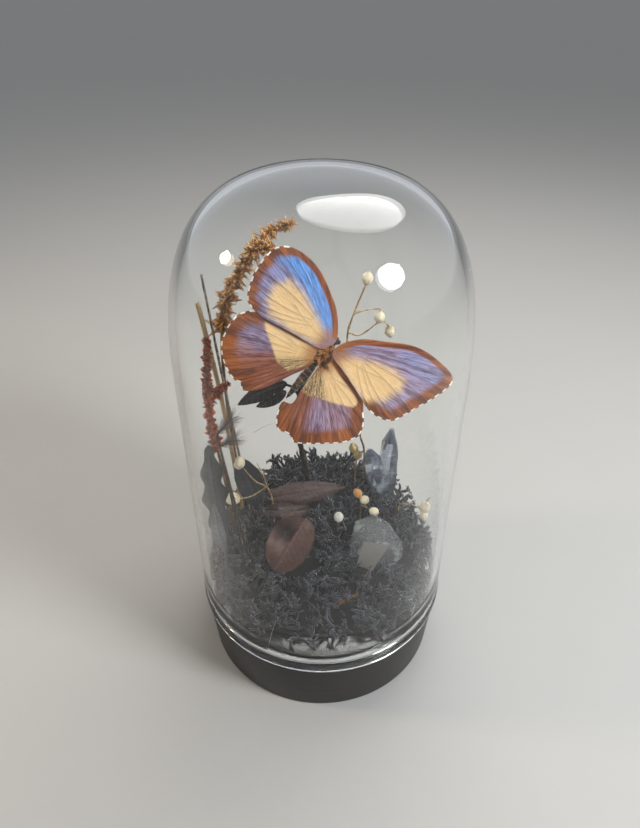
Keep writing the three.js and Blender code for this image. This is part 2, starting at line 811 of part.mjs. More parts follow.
function makeQuartz() {
  const point = crystal(V(28, 21, 47), V(29.2, 20, 87), 4.4, 0.7, 9);
  const shoulder = crystal(V(27.2, 19.6, 50), V(20.2, 19, 77.6), 4.6, 0.75, 6);
  add(scene, "quartz_point", join([hull(point), hull(shoulder)]), 0xaab4c0, 0.1);
  pockets.push(hull(point, 0.6), hull(shoulder, 0.6));

  const lump = [
    V(12, -7, 41.5),
    V(11.4, -5.6, 47.5),
    V(14, 1.6, 53.6),
    V(21, 2.6, 56.6),
    V(27.4, 0.4, 54.6),
    V(33.8, -5.2, 48.4),
    V(33.4, -8.4, 43.2),
    V(28.4, -11.4, 40),
    V(20.6, -12.6, 39.4),
    V(14.2, -11.2, 41.2),
    V(17, -7.6, 51.6),
    V(27.6, -8.6, 50.4),
    V(16, 4, 42),
    V(28, 3, 41),
    V(22, -3, 36),
  ];
  add(scene, "quartz_lump", hull(lump), 0xd6d2c8, 0.08);
  pockets.push(hull(lump, 0.6));
}

// Brown leaves and the short twig that lie on the moss

function makeLyingPieces() {
  const leaves = [
    [
      "pebbly_leaf",
      {
        midrib: [V(-26, 13.6, 54.6), V(-15, 13.4, 57), V(-3, 15.4, 58), V(10.4, 18.6, 57.4)],
        face: V(0, -0.62, 0.78),
        halfWidth: 5.2,
        width: pointed,
        cup: -0.3,
      },
      0x3f2620,
    ],
    [
      "crumpled_leaf",
      {
        midrib: [V(-25, 7, 54.4), V(-18, 6, 55.6), V(-11, 6.4, 54.6), V(-4.6, 7, 55.6)],
        face: V(0, -0.5, 0.86),
        halfWidth: 3,
        width: broad,
        cup: 0.2,
        ruffle: 0.9,
      },
      0x3a2722,
    ],
    [
      "cupped_leaf",
      {
        midrib: [V(-6.4, 1.4, 55), V(-10, -4.6, 53.8), V(-14, -11, 50), V(-18.4, -16.4, 44.4)],
        face: V(0, -0.45, 0.9),
        halfWidth: 9,
        width: broad,
        cup: 0.28,
        thickness: 0.8,
      },
      0x4b2a20,
    ],
  ];
  for (const [name, form, color] of leaves) {
    add(scene, name, leaf(form), color, 0.7);
    pockets.push(leaf({ ...form, grow: GAP + 0.1 }));
  }
  const twigPoints = [V(4, -27.5, 35.6), V(9.4, -25.4, 37.4), V(14.6, -23.6, 39)];
  add(scene, "short_twig", stem(twigPoints, 1, 0.8, 6, 5), 0x3a2a25, 0.85);
  const [start, middle, end] = twigPoints;
  const over = middle.clone().sub(start).normalize();
  const long = [start.clone().addScaledVector(over, -GAP), middle, end.clone().addScaledVector(over, GAP)];
  pockets.push(stem(long, 1.4, 1.2, 6, 5));
}

makeBase();
makeGlass();
const butterflyPlace = makeButterfly();
makeTwig(butterflyPlace);
makeTwigLeaves();
makeSpikes();
makeSticks();
makeTufts();
makeStandingLeaves();
makeSprigs();
makeQuartz();
makeLyingPieces();
makeMoss();

export default scene;
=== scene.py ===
import json
import random
from math import atan2, cos, exp, hypot, pi, radians, sin, sqrt

import bmesh
import bpy
import numpy as np
from bpy.props import FloatProperty, FloatVectorProperty, IntProperty, PointerProperty
from bpy.types import Operator, PropertyGroup
from mathutils import Euler, Matrix, Quaternion, Vector, noise
from mathutils.geometry import delaunay_2d_cdt

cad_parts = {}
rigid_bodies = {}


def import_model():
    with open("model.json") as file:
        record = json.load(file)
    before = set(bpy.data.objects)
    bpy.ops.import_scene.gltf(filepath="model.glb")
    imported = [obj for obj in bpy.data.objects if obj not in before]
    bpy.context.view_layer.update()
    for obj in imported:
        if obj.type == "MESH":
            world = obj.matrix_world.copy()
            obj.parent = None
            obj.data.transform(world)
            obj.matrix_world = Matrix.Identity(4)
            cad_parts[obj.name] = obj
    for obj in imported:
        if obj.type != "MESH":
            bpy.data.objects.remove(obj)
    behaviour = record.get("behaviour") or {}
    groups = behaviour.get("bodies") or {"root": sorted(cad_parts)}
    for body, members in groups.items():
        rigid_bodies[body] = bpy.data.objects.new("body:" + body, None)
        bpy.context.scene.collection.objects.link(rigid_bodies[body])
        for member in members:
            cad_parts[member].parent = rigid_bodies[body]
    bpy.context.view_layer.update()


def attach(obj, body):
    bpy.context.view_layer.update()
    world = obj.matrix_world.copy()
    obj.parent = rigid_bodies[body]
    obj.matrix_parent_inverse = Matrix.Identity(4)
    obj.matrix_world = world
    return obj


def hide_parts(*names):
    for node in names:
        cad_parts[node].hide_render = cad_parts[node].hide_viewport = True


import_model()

bl_info = {
    "name": "Butterfly under a glass dome",
    "version": (1, 0, 0),
    "blender": (4, 5, 0),
    "location": "View3D > Sidebar > Glass dome",
    "description": "Dresses the dome, its black base, the butterfly and the dried things around it",
    "category": "Object",
}

MM = 0.001
TURN = 2 * pi
GOLDEN_ANGLE = pi * (3 - sqrt(5))
UP = Vector((0, 0, 1))

# The rounded top of the dome: exponents of its height and of its radius. The gap under its rim.
SHOULDER, ROUNDNESS = 3.21, 2.97
UNDER_RIM = 0.3


# Colours

def tone(code):
    """A colour given as a hexadecimal screen colour, as linear values."""
    parts = [(code >> shift & 255) / 255 for shift in (16, 8, 0)]
    return tuple(c / 12.92 if c <= 0.04045 else ((c + 0.055) / 1.055) ** 2.4 for c in parts)


def colour(name, description, code):
    return FloatVectorProperty(
        name=name, description=description, default=tone(code), subtype="COLOR", size=3, min=0, max=1
    )


def length(name, description, millimetres):
    return FloatProperty(
        name=name, description=description, default=millimetres * MM, unit="LENGTH", subtype="DISTANCE"
    )


def angle(name, description, degrees):
    return FloatProperty(
        name=name, description=description, default=radians(degrees), unit="ROTATION", subtype="ANGLE"
    )


def count(name, description, number):
    return IntProperty(name=name, description=description, default=number, min=1)


class StageSettings(PropertyGroup):
    eye_back: length("Camera distance", "How far in front of the dome's axis the camera stands", 189)
    eye_side: length("Camera side", "How far right of the dome's axis the camera stands", -0.57)
    eye_height: length("Camera height", "Height of the camera over the table", 243.5)
    look_down: angle("Look down", "How far the camera looks down", 35.5)
    floor_colour: colour("Floor", "Colour of the pale floor", 0x8E8C88)


class CaseSettings(PropertyGroup):
    foot_radius: length("Base foot", "Radius of the base at its foot", 47.7)
    top_radius: length("Base top", "Radius of the base at its top", 49.6)
    base_height: length("Base height", "Height of the rim that the glass stands on", 25)
    floor_radius: length("Raised floor", "Radius of the floor inside the glass", 45.6)
    floor_rise: length("Floor rise", "Height of the raised floor over the rim", 3)
    glass_radius: length("Glass radius", "Outer radius of the dome", 50)
    glass_wall: length("Glass wall", "Thickness of the blown glass", 2.4)
    glass_straight: length("Straight wall", "Height of the dome's straight wall", 95.7)
    glass_crown: length("Crown", "Height of the dome's rounded top", 73)
    wood_colour: colour("Wood", "Black stain on the base", 0x15120F)


class MossSettings(PropertyGroup):
    radius: length("Moss radius", "Radius of the moss bed", 44.8)
    front_inset: length("Front inset", "Bare floor in front of the moss", 7)
    middle: length("Middle height", "Height of the moss on the dome's axis", 42.5)
    sprigs: count("Sprigs", "Sprigs in each quarter of the bed", 330)
    # Painted shade: the dark moss colour stands for the shade deep in the moss and on the bed under the
    # sprigs.
    deep_shade: colour("Dark moss", "Colour deep in the moss", 0x0B0C10)
    colour_light: colour("Moss tips", "Colour of the moss's tips", 0x474A56)


class ButterflySettings(PropertyGroup):
    lean_back: angle("Lean back", "How far the wings' plane leans back", 29.7)
    body_turn: angle("Body turn", "Turn of the tail from straight down", 42.9)
    left_raised: angle("Left wings", "How far the left wings are raised", 30)
    right_raised: angle("Right wings", "How far the right wings are raised", 6)
    brown: colour("Border", "Brown of the wings' borders", 0x7C3F18)
    cream: colour("Cream patch", "Cream of the patch in the middle of the wings", 0xE6C08A)
    lilac: colour("Lilac", "Violet shine outside the cream patch", 0xA89FC2)
    # The sky blue is the wings' own iridescent colour together with a painted reflection, strong only on the
    # left forewing.
    blue: colour("Blue", "Sky blue along the left forewing's cell", 0x6595D6)
    fringe: colour("Fringe", "White fringe on the outer edges", 0xF1E9DC)
    hairs: count("Hairs", "Hairs on the body", 5200)


class FlowerSettings(PropertyGroup):
    golden: colour("Golden florets", "Colour of the upper spike", 0xE0922E)
    rust: colour("Rust florets", "Colour of the lower spike", 0xA63F18)
    straw: colour("Straw", "Colour of the hollow straw", 0xBFA57A)
    bud: colour("Buds", "Cream of the dried buds", 0xF3E7C9)
    leaf: colour("Brown leaves", "Brown of the lying leaves", 0x43241A)
    dark_leaf: colour("Dark leaves", "Colour of the standing leaves", 0x26272A)


class QuartzSettings(PropertyGroup):
    tint: colour("Quartz", "Colour that the quartz takes over its depth", 0xDCE2EA)
    bevel: length("Worn edges", "Width of the worn edges of the quartz", 0.55)


# Shapes, in millimetres until they are meshes

class Shape:
    """Points in millimetres, faces, and values at the points that materials read."""

    def __init__(self):
        self.points = []
        self.faces = []
        self.finishes = []
        self.values = {}

    def add(self, points, faces, finish=0, **values):
        first = len(self.points)
        self.points += [tuple(p) for p in points]
        self.faces += [tuple(first + i for i in face) for face in faces]
        self.finishes += [finish] * len(faces)
        for name in set(self.values) | set(values):
            row = self.values.setdefault(name, [0.0] * first)
            value = values.get(name, 0.0)
            row += list(value) if hasattr(value, "__len__") else [float(value)] * len(points)

    def mesh(self, name):
        made = bpy.data.meshes.new(name)
        made.from_pydata([(x * MM, y * MM, z * MM) for x, y, z in self.points], [], self.faces)
        made.polygons.foreach_set("material_index", self.finishes)
        made.polygons.foreach_set("use_smooth", [True] * len(self.faces))
        for value, row in self.values.items():
            made.attributes.new(value, "FLOAT", "POINT").data.foreach_set("value", row)
        made.update()
        return made


def place(name, mesh, materials=()):
    made = bpy.data.objects.new(name, mesh)
    bpy.context.collection.objects.link(made)
    for material in materials:
        mesh.materials.append(material)
    return made


def hand_over(made, slot, *nodes):
    """Fixes a finished piece to the one body, in place of its CAD nodes."""
    if slot not in ("dome_glass", "black_wood"):
        keep_inside(made.data, bpy.context.scene.dome_case)
    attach(made, "root")
    if nodes:
        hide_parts(*nodes)
    return made


def deliver(shape, name, materials, slot, *nodes):
    """Makes a shape a piece of its own and hands it over."""
    return hand_over(place(name, shape.mesh(name), materials), slot, *nodes)


def keep_inside(mesh, settings, gap=0.4):
    """Draws in what would reach the inner side of the glass."""
    radius = (settings.glass_radius - settings.glass_wall) / MM
    shoulder = (settings.base_height + settings.glass_straight) / MM + UNDER_RIM
    crown = (settings.glass_crown - settings.glass_wall) / MM
    flat = np.empty(3 * len(mesh.vertices))
    mesh.vertices.foreach_get("co", flat)
    points = flat.reshape(-1, 3)
    rise = np.clip((points[:, 2] / MM - shoulder) / crown, 0, 0.98)
    most = (radius * (1 - rise ** SHOULDER) ** (1 / ROUNDNESS) - gap) * MM
    reach = np.hypot(points[:, 0], points[:, 1])
    points[:, :2] *= np.minimum(1, most / np.maximum(reach, 1e-9))[:, None]
    mesh.vertices.foreach_set("co", points.ravel())
    mesh.update()


def spins(sides):
    """Evenly spread angles of one full turn."""
    return [TURN * i / sides for i in range(sides)]


def smooth_route(points, steps):
    """Evenly spread points of a smooth curve through the given ones."""
    knots = [Vector(p) for p in points]
    last = len(knots) - 1
    fine = []
    samples = 14
    share = 1 / samples
    for k in range(last):
        a, b = knots[k], knots[k + 1]
        before = knots[k - 1] if k else 2 * a - b
        after = knots[k + 2] if k + 2 <= last else 2 * b - a
        for i in range(samples):
            t = i * share
            even = 2 * before - 5 * a + 4 * b - after
            odd = 3 * a - before - 3 * b + after
            fine.append(0.5 * (2 * a + (b - before) * t + even * t ** 2 + odd * t ** 3))
    fine.append(knots[last])
    spans = [(q - p).length for p, q in zip(fine, fine[1:])]
    total = sum(spans)
    found, done, k = [], 0.0, 0
    for i in range(steps + 1):
        target = total * i / steps
        while k < len(spans) - 1 and done + spans[k] < target:
            done += spans[k]
            k += 1
        found.append(fine[k].lerp(fine[k + 1], min(1, (target - done) / max(spans[k], 1e-9))))
    return found


def carried_frames(path):
    """The direction of a path at each point, with a side that is carried along without twist."""
    along = []
    for k in range(len(path)):
        ahead = path[min(k + 1, len(path) - 1)] - path[max(k - 1, 0)]
        along.append(ahead.normalized())
    side = along[0].orthogonal().normalized()
    result = []
    for k, direction in enumerate(along):
        if k:
            side = (along[k - 1].rotation_difference(direction) @ side).normalized()
        result.append((direction, side, direction.cross(side)))
    return result


def add_rings(shape, rings, finish=0, close=True, **values):
    """A skin over rings of equal counts of points, with a point in the middle of each end."""
    sides = len(rings[0])
    points = [p for ring in rings for p in ring]
    faces = []
    for r in range(len(rings) - 1):
        for i in range(sides):
            j = (i + 1) % sides
            a, b = r * sides + i, r * sides + j
            faces.append((a, b, b + sides, a + sides))
    if close:
        for ring, turned in ((0, True), (len(rings) - 1, False)):
            middle = sum((Vector(p) for p in rings[ring]), Vector()) / sides
            points.append(middle)
            for i in range(sides):
                a, b = ring * sides + i, ring * sides + (i + 1) % sides
                faces.append((len(points) - 1, b, a) if turned else (len(points) - 1, a, b))
        for name, row in values.items():
            if hasattr(row, "__len__"):
                values[name] = list(row) + [row[0], row[-1]]
    shape.add(points, faces, finish, **values)


def add_tube(shape, points, radius, sides=8, steps=14, rough=0.0, seed=0, finish=0, **values):
    """A round stem; radius is a pair of ends or a rule over its length."""
    path = smooth_route(points, steps)
    rule = radius if callable(radius) else lambda t: radius[0] + (radius[1] - radius[0]) * t
    rings, along, turn = [], [], []
    for k, (at, (_, side, rise)) in enumerate(zip(path, carried_frames(path))):
        ring = []
        for i, spin in enumerate(spins(sides)):
            out = side * cos(spin) + rise * sin(spin)
            uneven = 1 + rough * noise.noise(at * 0.8 + out * 1.7 + Vector((seed, 0, 0)))
            ring.append(at + out * rule(k / steps) * uneven)
            along.append(k / steps)
            turn.append(i / sides)
        rings.append(ring)
    add_rings(shape, rings, finish, along=along, turn=turn, **values)


def lathe(shape, profile, sides, finish=0):
    """A turned solid from a profile of (radius, height) that starts and ends on the axis or closes."""
    closed = profile[0][0] > 0
    points, index = [], []
    for radius, height in profile:
        row = []
        for spin in spins(sides if radius > 0 else 1):
            row.append(len(points))
            points.append((radius * cos(spin), radius * sin(spin), height))
        index.append(row)
    faces = []
    pairs = list(zip(index, index[1:])) + ([(index[-1], index[0])] if closed else [])
    for low, high in pairs:
        for i in range(sides):
            j = (i + 1) % sides
            corners = [low[i % len(low)], low[j % len(low)], high[j % len(high)], high[i % len(high)]]
            face = [c for k, c in enumerate(corners) if c != corners[k - 1]]
            if len(face) > 2:
                faces.append(face)
    shape.add(points, faces, finish)


def rounded_corner(corner, before, after, size, steps=5):
    """Points of a rounded corner of a profile."""
    corner, before, after = Vector(corner), Vector(before), Vector(after)
    start = corner + (before - corner).normalized() * size
    end = corner + (after - corner).normalized() * size
    found = []
    for k in range(steps + 1):
        t = k / steps
        found.append(tuple(start * (1 - t) ** 2 + corner * 2 * t * (1 - t) + end * t ** 2))
    return found


# Node trees

class Nodes:
    """A tree that is put together node by node; any value may be another node's socket."""

    def feed(self, socket, value):
        if isinstance(value, bpy.types.NodeSocket):
            self.tree.links.new(value, socket)
        elif socket.type == "RGBA" and len(value) == 3:
            socket.default_value = (*value, 1)
        else:
            socket.default_value = value

    def node(self, kind, inputs=None, **settings):
        made = self.tree.nodes.new(kind)
        for name, value in settings.items():
            setattr(made, name, value)
        for key, value in (inputs or {}).items():
            self.feed(made.inputs[key], value)
        return made

    def math(self, operation, a, b=0.0, c=0.0):
        return self.node("ShaderNodeMath", {0: a, 1: b, 2: c}, operation=operation).outputs[0]

    def times(self, a, b):
        return self.math("MULTIPLY", a, b)

    def plus(self, a, b):
        return self.math("ADD", a, b)

    def vector(self, x=0.0, y=0.0, z=0.0):
        return self.node("ShaderNodeCombineXYZ", {"X": x, "Y": y, "Z": z}).outputs[0]


class Finish(Nodes):
    """A material on Object coordinates."""

    def __init__(self, name, **constants):
        self.material = bpy.data.materials.new(name)
        self.material.use_nodes = True
        self.tree = self.material.node_tree
        self.shader = self.tree.nodes["Principled BSDF"]
        self.where = self.node("ShaderNodeTexCoord").outputs["Object"]
        for socket, value in constants.items():
            self.set(socket.replace("_", " "), value)

    def set(self, socket, value):
        self.feed(self.shader.inputs[socket], value)

    def stretched(self, factors):
        return self.node("ShaderNodeMapping", {"Vector": self.where, "Scale": factors}).outputs[0]

    def along_stem(self, around, length):
        """Coordinates that follow a stem, for sizes in millimetres round it and along it."""
        turn = self.times(self.value("turn"), around * MM)
        return self.vector(turn, 0.0, self.times(self.value("along"), length * MM))

    def noise(self, size, detail=3.0, roughness=0.55, where=None, bend=0.0):
        """Cloudy values from 0 to 1, with features of the given size in millimetres."""
        inputs = {
            "Vector": where or self.where, "Scale": 1 / (size * MM), "Detail": detail,
            "Roughness": roughness, "Distortion": bend,
        }
        return self.node("ShaderNodeTexNoise", inputs).outputs["Fac"]

    def cells(self, size):
        inputs = {"Vector": self.where, "Scale": 1 / (size * MM)}
        return self.node("ShaderNodeTexVoronoi", inputs).outputs["Distance"]

    def value(self, name):
        return self.node("ShaderNodeAttribute", attribute_name=name).outputs["Fac"]

    def between(self, value, low, high, start=0.0, end=1.0):
        """Maps low to high onto start to end, softly and without leaving them."""
        inputs = {"Value": value, "From Min": low, "From Max": high, "To Min": start, "To Max": end}
        return self.node("ShaderNodeMapRange", inputs, interpolation_type="SMOOTHSTEP").outputs[0]

    def blend(self, share, a, b):
        return self.node("ShaderNodeMix", {0: share, 6: a, 7: b}, data_type="RGBA").outputs[2]

    def shades(self, share, code, low, high):
        """From a darker to a lighter shade of one colour."""
        return self.blend(share, scaled(code, low), scaled(code, high))

    def bump(self, height, depth, before=None):
        """Relief of the given depth in millimetres, for heights from 0 to 1."""
        inputs = {"Height": height, "Distance": depth * MM, "Strength": 1.0}
        if before:
            inputs["Normal"] = before
        return self.node("ShaderNodeBump", inputs).outputs[0]

    def done(self, skin, rough=None, relief=None):
        """Sets the colour, the roughness (a value, its share and the least) and the relief."""
        self.set("Base Color", skin)
        if rough:
            self.set("Roughness", self.math("MULTIPLY_ADD", *rough))
        if relief:
            self.set("Normal", relief)
        return self.material


def scaled(code, factor):
    return tuple(min(1.0, c * factor) for c in code)


class Tree(Nodes):
    """A Geometry Nodes tree with named inputs, whose result becomes a plain mesh."""

    def __init__(self, name):
        self.tree = bpy.data.node_groups.new(name, "GeometryNodeTree")
        for side in ("INPUT", "OUTPUT"):
            self.tree.interface.new_socket("Geometry", in_out=side, socket_type="NodeSocketGeometry")
        self.entry = self.node("NodeGroupInput")
        self.exit = self.node("NodeGroupOutput")

    def inputs(self, **kinds):
        """Adds named inputs and gives their sockets in the same order."""
        found = []
        for key, kind in kinds.items():
            name = key.replace("_", " ").title()
            self.tree.interface.new_socket(name, in_out="INPUT", socket_type="NodeSocket" + kind)
            found.append(self.entry.outputs[name])
        return found

    def combined(self, operation, a, b):
        inputs = {0: a, "Scale" if operation == "SCALE" else 1: b}
        return self.node("ShaderNodeVectorMath", inputs, operation=operation).outputs[0]

    def random(self, kind, low, high, seed):
        """A value of its own for each point, between two limits."""
        first, output = {"FLOAT_VECTOR": (0, 0), "FLOAT": (2, 1), "INT": (4, 2)}[kind]
        inputs = {first: low, first + 1: high, "Seed": seed}
        return self.node("FunctionNodeRandomValue", inputs, data_type=kind).outputs[output]

    def turned(self, rotation, by):
        inputs = {0: rotation, 1: by}
        return self.node("FunctionNodeRotateRotation", inputs, rotation_space="LOCAL").outputs[0]

    def repeat(self, points, shapes, seed, rotation, size, material):
        """Sets one of the shapes on each point, as real faces with a material, and ends the tree."""
        folder = self.node(
            "GeometryNodeCollectionInfo",
            {"Collection": shapes, "Separate Children": True, "Reset Children": True},
        ).outputs[0]
        instances = self.node(
            "GeometryNodeInstanceOnPoints",
            {"Points": points, "Instance": folder, "Pick Instance": True,
             "Instance Index": self.random("INT", 0, 99, seed), "Rotation": rotation, "Scale": size},
        ).outputs[0]
        real = self.node("GeometryNodeRealizeInstances", {"Geometry": instances}).outputs[0]
        painted = self.node("GeometryNodeSetMaterial", {"Geometry": real, "Material": material})
        self.feed(self.exit.inputs[0], painted.outputs[0])
        return self

    def grow(self, mesh, name, shapes, **inputs):
        """Runs the tree on a mesh, with the shapes that it repeats, and gives a new plain mesh."""
        source = place("source", mesh)
        folder = bpy.data.collections.new("shapes")
        for k, shape in enumerate(shapes):
            folder.objects.link(bpy.data.objects.new(f"shape_{k}", shape))
        inputs["shapes"] = folder
        modifier = source.modifiers.new(self.tree.name, "NODES")
        modifier.node_group = self.tree
        for item in self.tree.interface.items_tree:
            key = item.name.lower().replace(" ", "_")
            if item.in_out == "INPUT" and key in inputs:
                modifier[item.identifier] = inputs[key]
        made = evaluated(source)
        made.name = name
        discard(source, *folder.objects)
        bpy.data.collections.remove(folder)
        return made


def evaluated(made):
    """A new plain mesh of an object with its modifiers, which are then removed."""
    view = bpy.context.evaluated_depsgraph_get()
    view.update()
    mesh = bpy.data.meshes.new_from_object(made.evaluated_get(view), depsgraph=view)
    made.modifiers.clear()
    return mesh


def discard(*objects):
    for made in objects:
        bpy.data.objects.remove(made)


def surface_tree():
    """Repeats small shapes over a surface, combed towards a direction, away from a keep-out."""
    tree = Tree("grow_over_surface")
    amount, seed, shapes, smallest, largest, comb, untidy, keep_out, room, reach, material = tree.inputs(
        amount="Float", seed="Int", shapes="Collection", smallest="Float", largest="Float", comb="Vector",
        untidy="Float", keep_out="Object", room="Float", reach="Float", material="Material",
    )
    inputs = {"Mesh": tree.entry.outputs["Geometry"], "Density": amount, "Seed": seed}
    scatter = tree.node("GeometryNodeDistributePointsOnFaces", inputs)
    points, normal = scatter.outputs["Points"], scatter.outputs["Normal"]

    # Points that stand too near to the keep-out or under it are left away
    other = tree.node("GeometryNodeObjectInfo", {"Object": keep_out}).outputs["Geometry"]
    position = tree.node("GeometryNodeInputPosition").outputs[0]
    lifted = tree.combined("MULTIPLY", normal, (0.5, 0.5, 0.5))
    sample = tree.combined("ADD", position, tree.combined("SCALE", lifted, reach))
    inputs = {"Geometry": other, "Sample Position": sample}
    near = tree.node("GeometryNodeProximity", inputs, target_element="FACES").outputs["Distance"]
    beside = tree.node(
        "FunctionNodeCompare", {0: near, 1: room}, data_type="FLOAT", operation="LESS_THAN"
    ).outputs[0]
    inputs = {
        "Target Geometry": other, "Source Position": position, "Ray Direction": UP, "Ray Length": 14 * MM,
    }
    above = tree.node("GeometryNodeRaycast", inputs).outputs["Is Hit"]
    covered = tree.node("FunctionNodeBooleanMath", {0: beside, 1: above}, operation="OR").outputs[0]
    kept = tree.node("GeometryNodeDeleteGeometry", {"Geometry": points, "Selection": covered}).outputs[0]

    jitter = tree.random("FLOAT_VECTOR", (-1, -1, -1), (1, 1, 1), seed)
    leaning = tree.combined("ADD", normal, comb)
    heading = tree.combined("ADD", leaning, tree.combined("SCALE", jitter, untidy))
    upright = tree.node("FunctionNodeAlignRotationToVector", {"Vector": heading}, axis="Z").outputs[0]
    turn = tree.turned(upright, tree.vector(z=tree.random("FLOAT", 0.0, TURN, seed)))
    size = tree.random("FLOAT", smallest, largest, seed)
    return tree.repeat(kept, shapes, seed, turn, size, material)


def path_tree():
    """Repeats small shapes along a path, each turned on by one angle and leaning to the tip."""
    tree = Tree("set_along_path")
    number, seed, shapes, turn, lean, untidy, first_size, last_size, material = tree.inputs(
        number="Int", seed="Int", shapes="Collection", turn="Float", lean="Float", untidy="Float",
        first_size="Float", last_size="Float", material="Material",
    )
    curve = tree.node("GeometryNodeMeshToCurve", {"Mesh": tree.entry.outputs["Geometry"]}).outputs[0]
    points = tree.node("GeometryNodeCurveToPoints", {"Curve": curve, "Count": number}, mode="COUNT")
    index = tree.node("GeometryNodeInputIndex").outputs[0]
    around = tree.turned(points.outputs["Rotation"], tree.vector(z=tree.times(index, turn)))
    leant = tree.turned(around, tree.vector(x=lean))
    wild = tree.random("FLOAT_VECTOR", (-1, -1, -1), (1, 1, 1), seed)
    rotation = tree.turned(leant, tree.combined("SCALE", wild, untidy))
    share = tree.math("DIVIDE", index, tree.math("SUBTRACT", number, 1.0))
    inputs = {"Value": share, "To Min": first_size, "To Max": last_size}
    size = tree.times(
        tree.node("ShaderNodeMapRange", inputs).outputs[0], tree.random("FLOAT", 0.75, 1.2, seed)
    )
    return tree.repeat(points.outputs["Points"], shapes, seed, rotation, size, material)


def path_mesh(points, steps, start=0.0):
    """A path as joined edges, from a share of its length to its end."""
    route = smooth_route(points, steps)[int(start * steps):]
    mesh = bpy.data.meshes.new("path")
    mesh.from_pydata([p * MM for p in route], [(k, k + 1) for k in range(len(route) - 1)], [])
    return mesh


def part_of(mesh, keep):
    """A copy of a mesh with only the faces that a rule keeps."""
    part = mesh.copy()
    cut = bmesh.new()
    cut.from_mesh(part)
    bmesh.ops.delete(cut, geom=[face for face in cut.faces if not keep(face)], context="FACES")
    cut.to_mesh(part)
    cut.free()
    return part


def area(mesh):
    return max(1e-9, sum(face.area for face in mesh.polygons))


def joined(name, meshes):
    """Several meshes as one object; faces keep their own materials."""
    whole = bmesh.new()
    slots = []
    for mesh in meshes:
        first = len(whole.faces)
        whole.from_mesh(mesh)
        whole.faces.ensure_lookup_table()
        own = list(mesh.materials)
        for face in whole.faces[first:]:
            material = own[min(face.material_index, len(own) - 1)]
            if material not in slots:
                slots.append(material)
            face.material_index = slots.index(material)
    made = bpy.data.meshes.new(name)
    whole.to_mesh(made)
    whole.free()
    return place(name, made, slots)


# Case

def base_finish(settings):
    finish = Finish("black_stained_wood", IOR=1.5)
    grain = finish.noise(2.2, 5, 0.6, finish.stretched((0.07, 1, 1)), 0.3)
    pores = finish.noise(0.35, 2, 0.6, finish.stretched((0.05, 1, 1)))
    cloud = finish.noise(18, 3)
    wood = finish.shades(grain, settings.wood_colour, 0.55, 1.7)
    skin = finish.blend(finish.between(cloud, 0.5, 0.75, 0, 0.35), wood, tone(0x2A2622))
    rough = finish.math("MULTIPLY_ADD", grain, 0.16, 0.22)
    return finish.done(skin, (cloud, 0.2, rough), finish.bump(pores, 0.05, finish.bump(grain, 0.06)))


def floor_finish(settings):
    finish = Finish("black_lacquer", IOR=1.5, Coat_Weight=0.4, Coat_Roughness=0.08)
    grain = finish.noise(2.4, 5, 0.6, finish.stretched((0.07, 1, 1)), 0.3)
    dust = finish.between(finish.noise(0.5, 2, 0.7), 0.66, 0.8, 0, 0.35)
    wood = finish.shades(grain, settings.wood_colour, 0.4, 1.1)
    skin = finish.blend(dust, wood, tone(0x55504A))
    return finish.done(skin, (grain, 0.12, 0.16), finish.bump(grain, 0.02))


class BaseOperator(Operator):
    """Turns the black base with its raised floor"""

    bl_idname = "glass_dome.base"
    bl_label = "Base"

    def execute(self, context):
        size = context.scene.dome_case
        foot, top, height = (v / MM for v in (size.foot_radius, size.top_radius, size.base_height))
        floor, level = size.floor_radius / MM, (size.base_height + size.floor_rise) / MM
        under = [(0, 0.4), (foot - 9, 0.4), (foot - 8.6, 0)]
        outside = [
            *under,
            *rounded_corner((foot, 0), (foot - 1, 0), (top, height), 1.1),
            *rounded_corner((top, height), (foot, 0), (floor, height), 1.1, 7),
            (floor + 0.5, height),
        ]
        inside = [
            (floor + 0.5, height),
            (floor + 0.1, height + 0.1),
            (floor, height + 0.5),
            *rounded_corner((floor, level), (floor, height), (0, level), 0.6),
            (floor * 0.66, level + 0.02),
            (floor * 0.33, level + 0.02),
            (0, level + 0.02),
        ]
        shape = Shape()
        lathe(shape, outside + inside[1:], 160)
        for k, face in enumerate(shape.faces):
            if all(shape.points[i][2] > height + 0.05 for i in face):
                shape.finishes[k] = 1
        materials = (base_finish(size), floor_finish(size))
        deliver(shape, "turned_base", materials, "black_wood", "base")
        return {"FINISHED"}


def crown_profile(radius, height, foot, steps):
    """Radius and height of the rounded top, from its shoulder to its middle."""
    found = []
    for k in range(steps + 1):
        t = k / steps
        swing = 0.5 * pi * t * t * (3 - 2 * t)
        rise = sin(swing) ** (2 / SHOULDER)
        reach = max(0.0, cos(swing)) ** (2 / ROUNDNESS)
        found.append((radius * reach if k < steps else 0, foot + height * rise))
    return found


